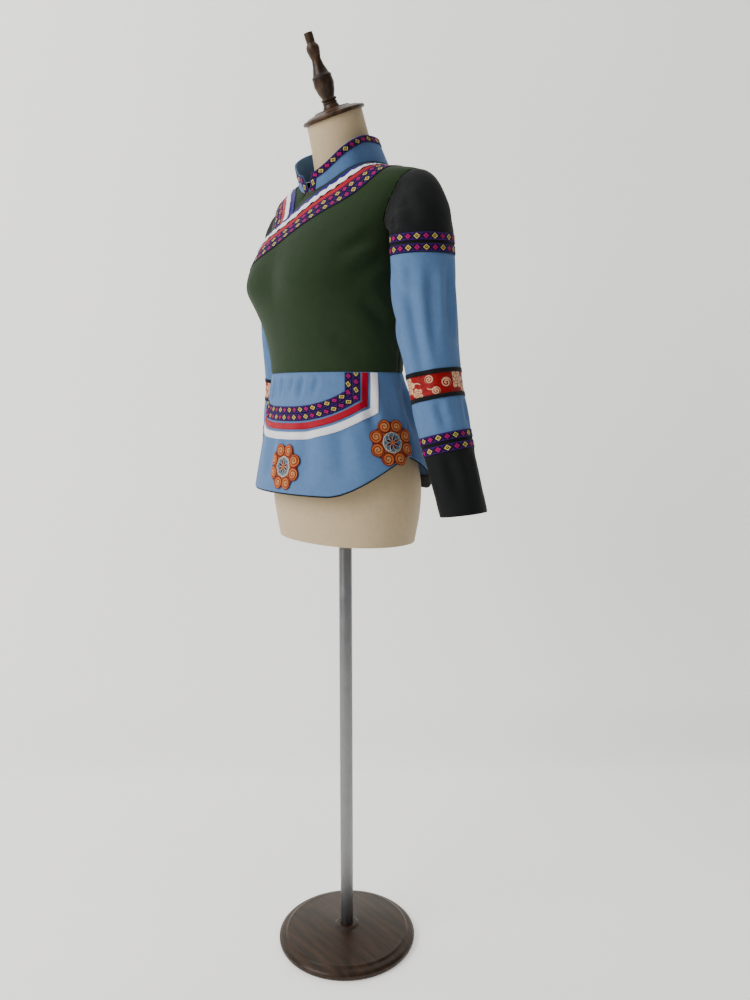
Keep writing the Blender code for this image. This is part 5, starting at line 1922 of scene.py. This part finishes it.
@made_once
def studio_look(tree, shader):
    """Matt pale paper that glows a little, and is clear from behind."""
    pale = tuple(bpy.context.scene.tunic_studio.pale)
    dark, light = shades(pale, 0.97, 1.03)
    plug(shader.inputs["Base Color"], blend(cloud(object_place(tree), 1.4, 2.0), dark, light))
    shader.inputs["Roughness"].default_value = 0.95
    shader.inputs["Specular IOR Level"].default_value = 0.1
    shader.inputs["Emission Color"].default_value = (*pale, 1)
    shader.inputs["Emission Strength"].default_value = 0.62
    clear = tree.nodes.new("ShaderNodeBsdfTransparent")
    side = tree.nodes.new("ShaderNodeNewGeometry")
    both = tree.nodes.new("ShaderNodeMixShader")
    tree.links.new(side.outputs["Backfacing"], both.inputs[0])
    tree.links.new(shader.outputs[0], both.inputs[1])
    tree.links.new(clear.outputs[0], both.inputs[2])
    tree.links.new(both.outputs[0], tree.nodes["Material Output"].inputs["Surface"])


# Studio


def area_light(name, size, power, tint, place, aim):
    """A square light at a place, aimed at a height on the stand's axis."""
    data = bpy.data.lights.new(name, "AREA")
    data.shape, data.size, data.size_y = "RECTANGLE", size, size
    data.energy = power
    data.color = tint
    lamp = bpy.data.objects.new(name, data)
    lamp.location = place
    lamp.rotation_euler = (Vector((0, 0, aim)) - place).to_track_quat("-Z", "Y").to_euler()
    bpy.context.scene.collection.objects.link(lamp)


def sweep_mesh(toward, aside):
    """Floor and wall in one sheet, as a profile that is drawn out sideways."""
    bm = bmesh.new()
    bend = [
        (SWEEP_AWAY - SWEEP_BEND + SWEEP_BEND * math.sin(a), SWEEP_BEND * (1 - math.cos(a)))
        for a in np.linspace(0, math.pi / 2, 13)
    ]
    profile = [(-SWEEP_NEAR, 0.0), (-1.0, 0.0), *bend, (SWEEP_AWAY, SWEEP_HEIGHT)]
    line = [bm.verts.new(toward * d + Vector((0, 0, h)) - aside * SWEEP_WIDTH / 2) for d, h in profile]
    edges = [bm.edges.new(pair) for pair in zip(line[:-1], line[1:])]
    made = bmesh.ops.extrude_edge_only(bm, edges=edges)["geom"]
    moved = [v for v in made if isinstance(v, bmesh.types.BMVert)]
    bmesh.ops.translate(bm, verts=moved, vec=aside * SWEEP_WIDTH)
    bmesh.ops.translate(bm, verts=bm.verts, vec=(0, 0, -SWEEP_DROP))
    bmesh.ops.recalc_face_normals(bm, faces=bm.faces)
    floor = max(bm.faces, key=lambda f: abs(f.normal.z) * f.calc_area())
    if floor.normal.z < 0:
        bmesh.ops.reverse_faces(bm, faces=bm.faces)
    mesh = bpy.data.meshes.new("studio_sweep")
    bm.to_mesh(mesh)
    bm.free()
    mesh.materials.append(studio_look("pale_paper"))
    mesh.shade_smooth()
    return mesh


class TUNIC_OT_studio(bpy.types.Operator):
    """Add the floor and wall, the lights and the camera"""

    bl_idname = "tunic.studio"
    bl_label = "Studio"

    def execute(self, context):
        scene, studio = context.scene, context.scene.tunic_studio
        toward = Vector((-math.sin(CAMERA_TURN), math.cos(CAMERA_TURN), 0))
        aside = Vector((math.cos(CAMERA_TURN), math.sin(CAMERA_TURN), 0))
        sweep = bpy.data.objects.new("studio_sweep", sweep_mesh(toward, aside))
        scene.collection.objects.link(sweep)

        for key, (size, tint, (near, beside, high), aim) in LIGHTS.items():
            place = toward * -near + aside * beside + Vector((0, 0, high))
            area_light(f"{key}_light", size, getattr(studio, key), tint, place, aim)

        world = bpy.data.worlds.new("studio_air")
        world.use_nodes = True
        air = world.node_tree.nodes["Background"]
        air.inputs["Color"].default_value = AIR_COLOUR
        air.inputs["Strength"].default_value = studio.ambient
        scene.world = world

        lens = bpy.data.cameras.new("studio_camera")
        lens.sensor_width = CAMERA_SENSOR
        lens.lens = CAMERA_LENS
        camera = bpy.data.objects.new("studio_camera", lens)
        camera.location = toward * -CAMERA_AWAY + Vector((0, 0, CAMERA_HEIGHT))
        camera.rotation_euler = (math.pi / 2 - CAMERA_PITCH, 0, CAMERA_TURN - CAMERA_ASIDE)
        scene.collection.objects.link(camera)
        scene.camera = camera
        return {"FINISHED"}


# Panel, registration and run


STEPS = (
    TUNIC_OT_form,
    TUNIC_OT_stand,
    TUNIC_OT_bodice,
    TUNIC_OT_peplum,
    TUNIC_OT_neck_ribbons,
    TUNIC_OT_u_ribbons,
    TUNIC_OT_medallions,
    TUNIC_OT_collar,
    TUNIC_OT_sleeves,
    TUNIC_OT_studio,
)
SETTINGS = {
    "tunic_cloth": TunicCloth,
    "tunic_colours": TunicColours,
    "tunic_stand": StandFinish,
    "tunic_studio": Studio,
}


class TUNIC_PT_sidebar(bpy.types.Panel):
    """Settings and steps of the tunic"""

    bl_label = "Folk tunic"
    bl_idname = "TUNIC_PT_sidebar"
    bl_space_type = "VIEW_3D"
    bl_region_type = "UI"
    bl_category = "Tunic"

    def draw(self, context):
        for key, kind in SETTINGS.items():
            box = self.layout.box()
            box.label(text=kind.__doc__)
            for name in kind.__annotations__:
                box.prop(getattr(context.scene, key), name)
        for step in STEPS:
            self.layout.operator(step.bl_idname)


CLASSES = (*SETTINGS.values(), *STEPS, TUNIC_PT_sidebar)


def register():
    for cls in CLASSES:
        bpy.utils.register_class(cls)
    for key, kind in SETTINGS.items():
        setattr(bpy.types.Scene, key, PointerProperty(type=kind))


def unregister():
    for key in SETTINGS:
        delattr(bpy.types.Scene, key)
    for cls in reversed(CLASSES):
        bpy.utils.unregister_class(cls)


def main():
    register()
    bpy.ops.tunic.form()
    bpy.ops.tunic.stand()
    bpy.ops.tunic.bodice()
    bpy.ops.tunic.peplum()
    bpy.ops.tunic.neck_ribbons()
    bpy.ops.tunic.u_ribbons()
    bpy.ops.tunic.medallions()
    bpy.ops.tunic.collar()
    bpy.ops.tunic.sleeves()
    bpy.ops.tunic.studio()


if __name__ == "__main__":
    main()
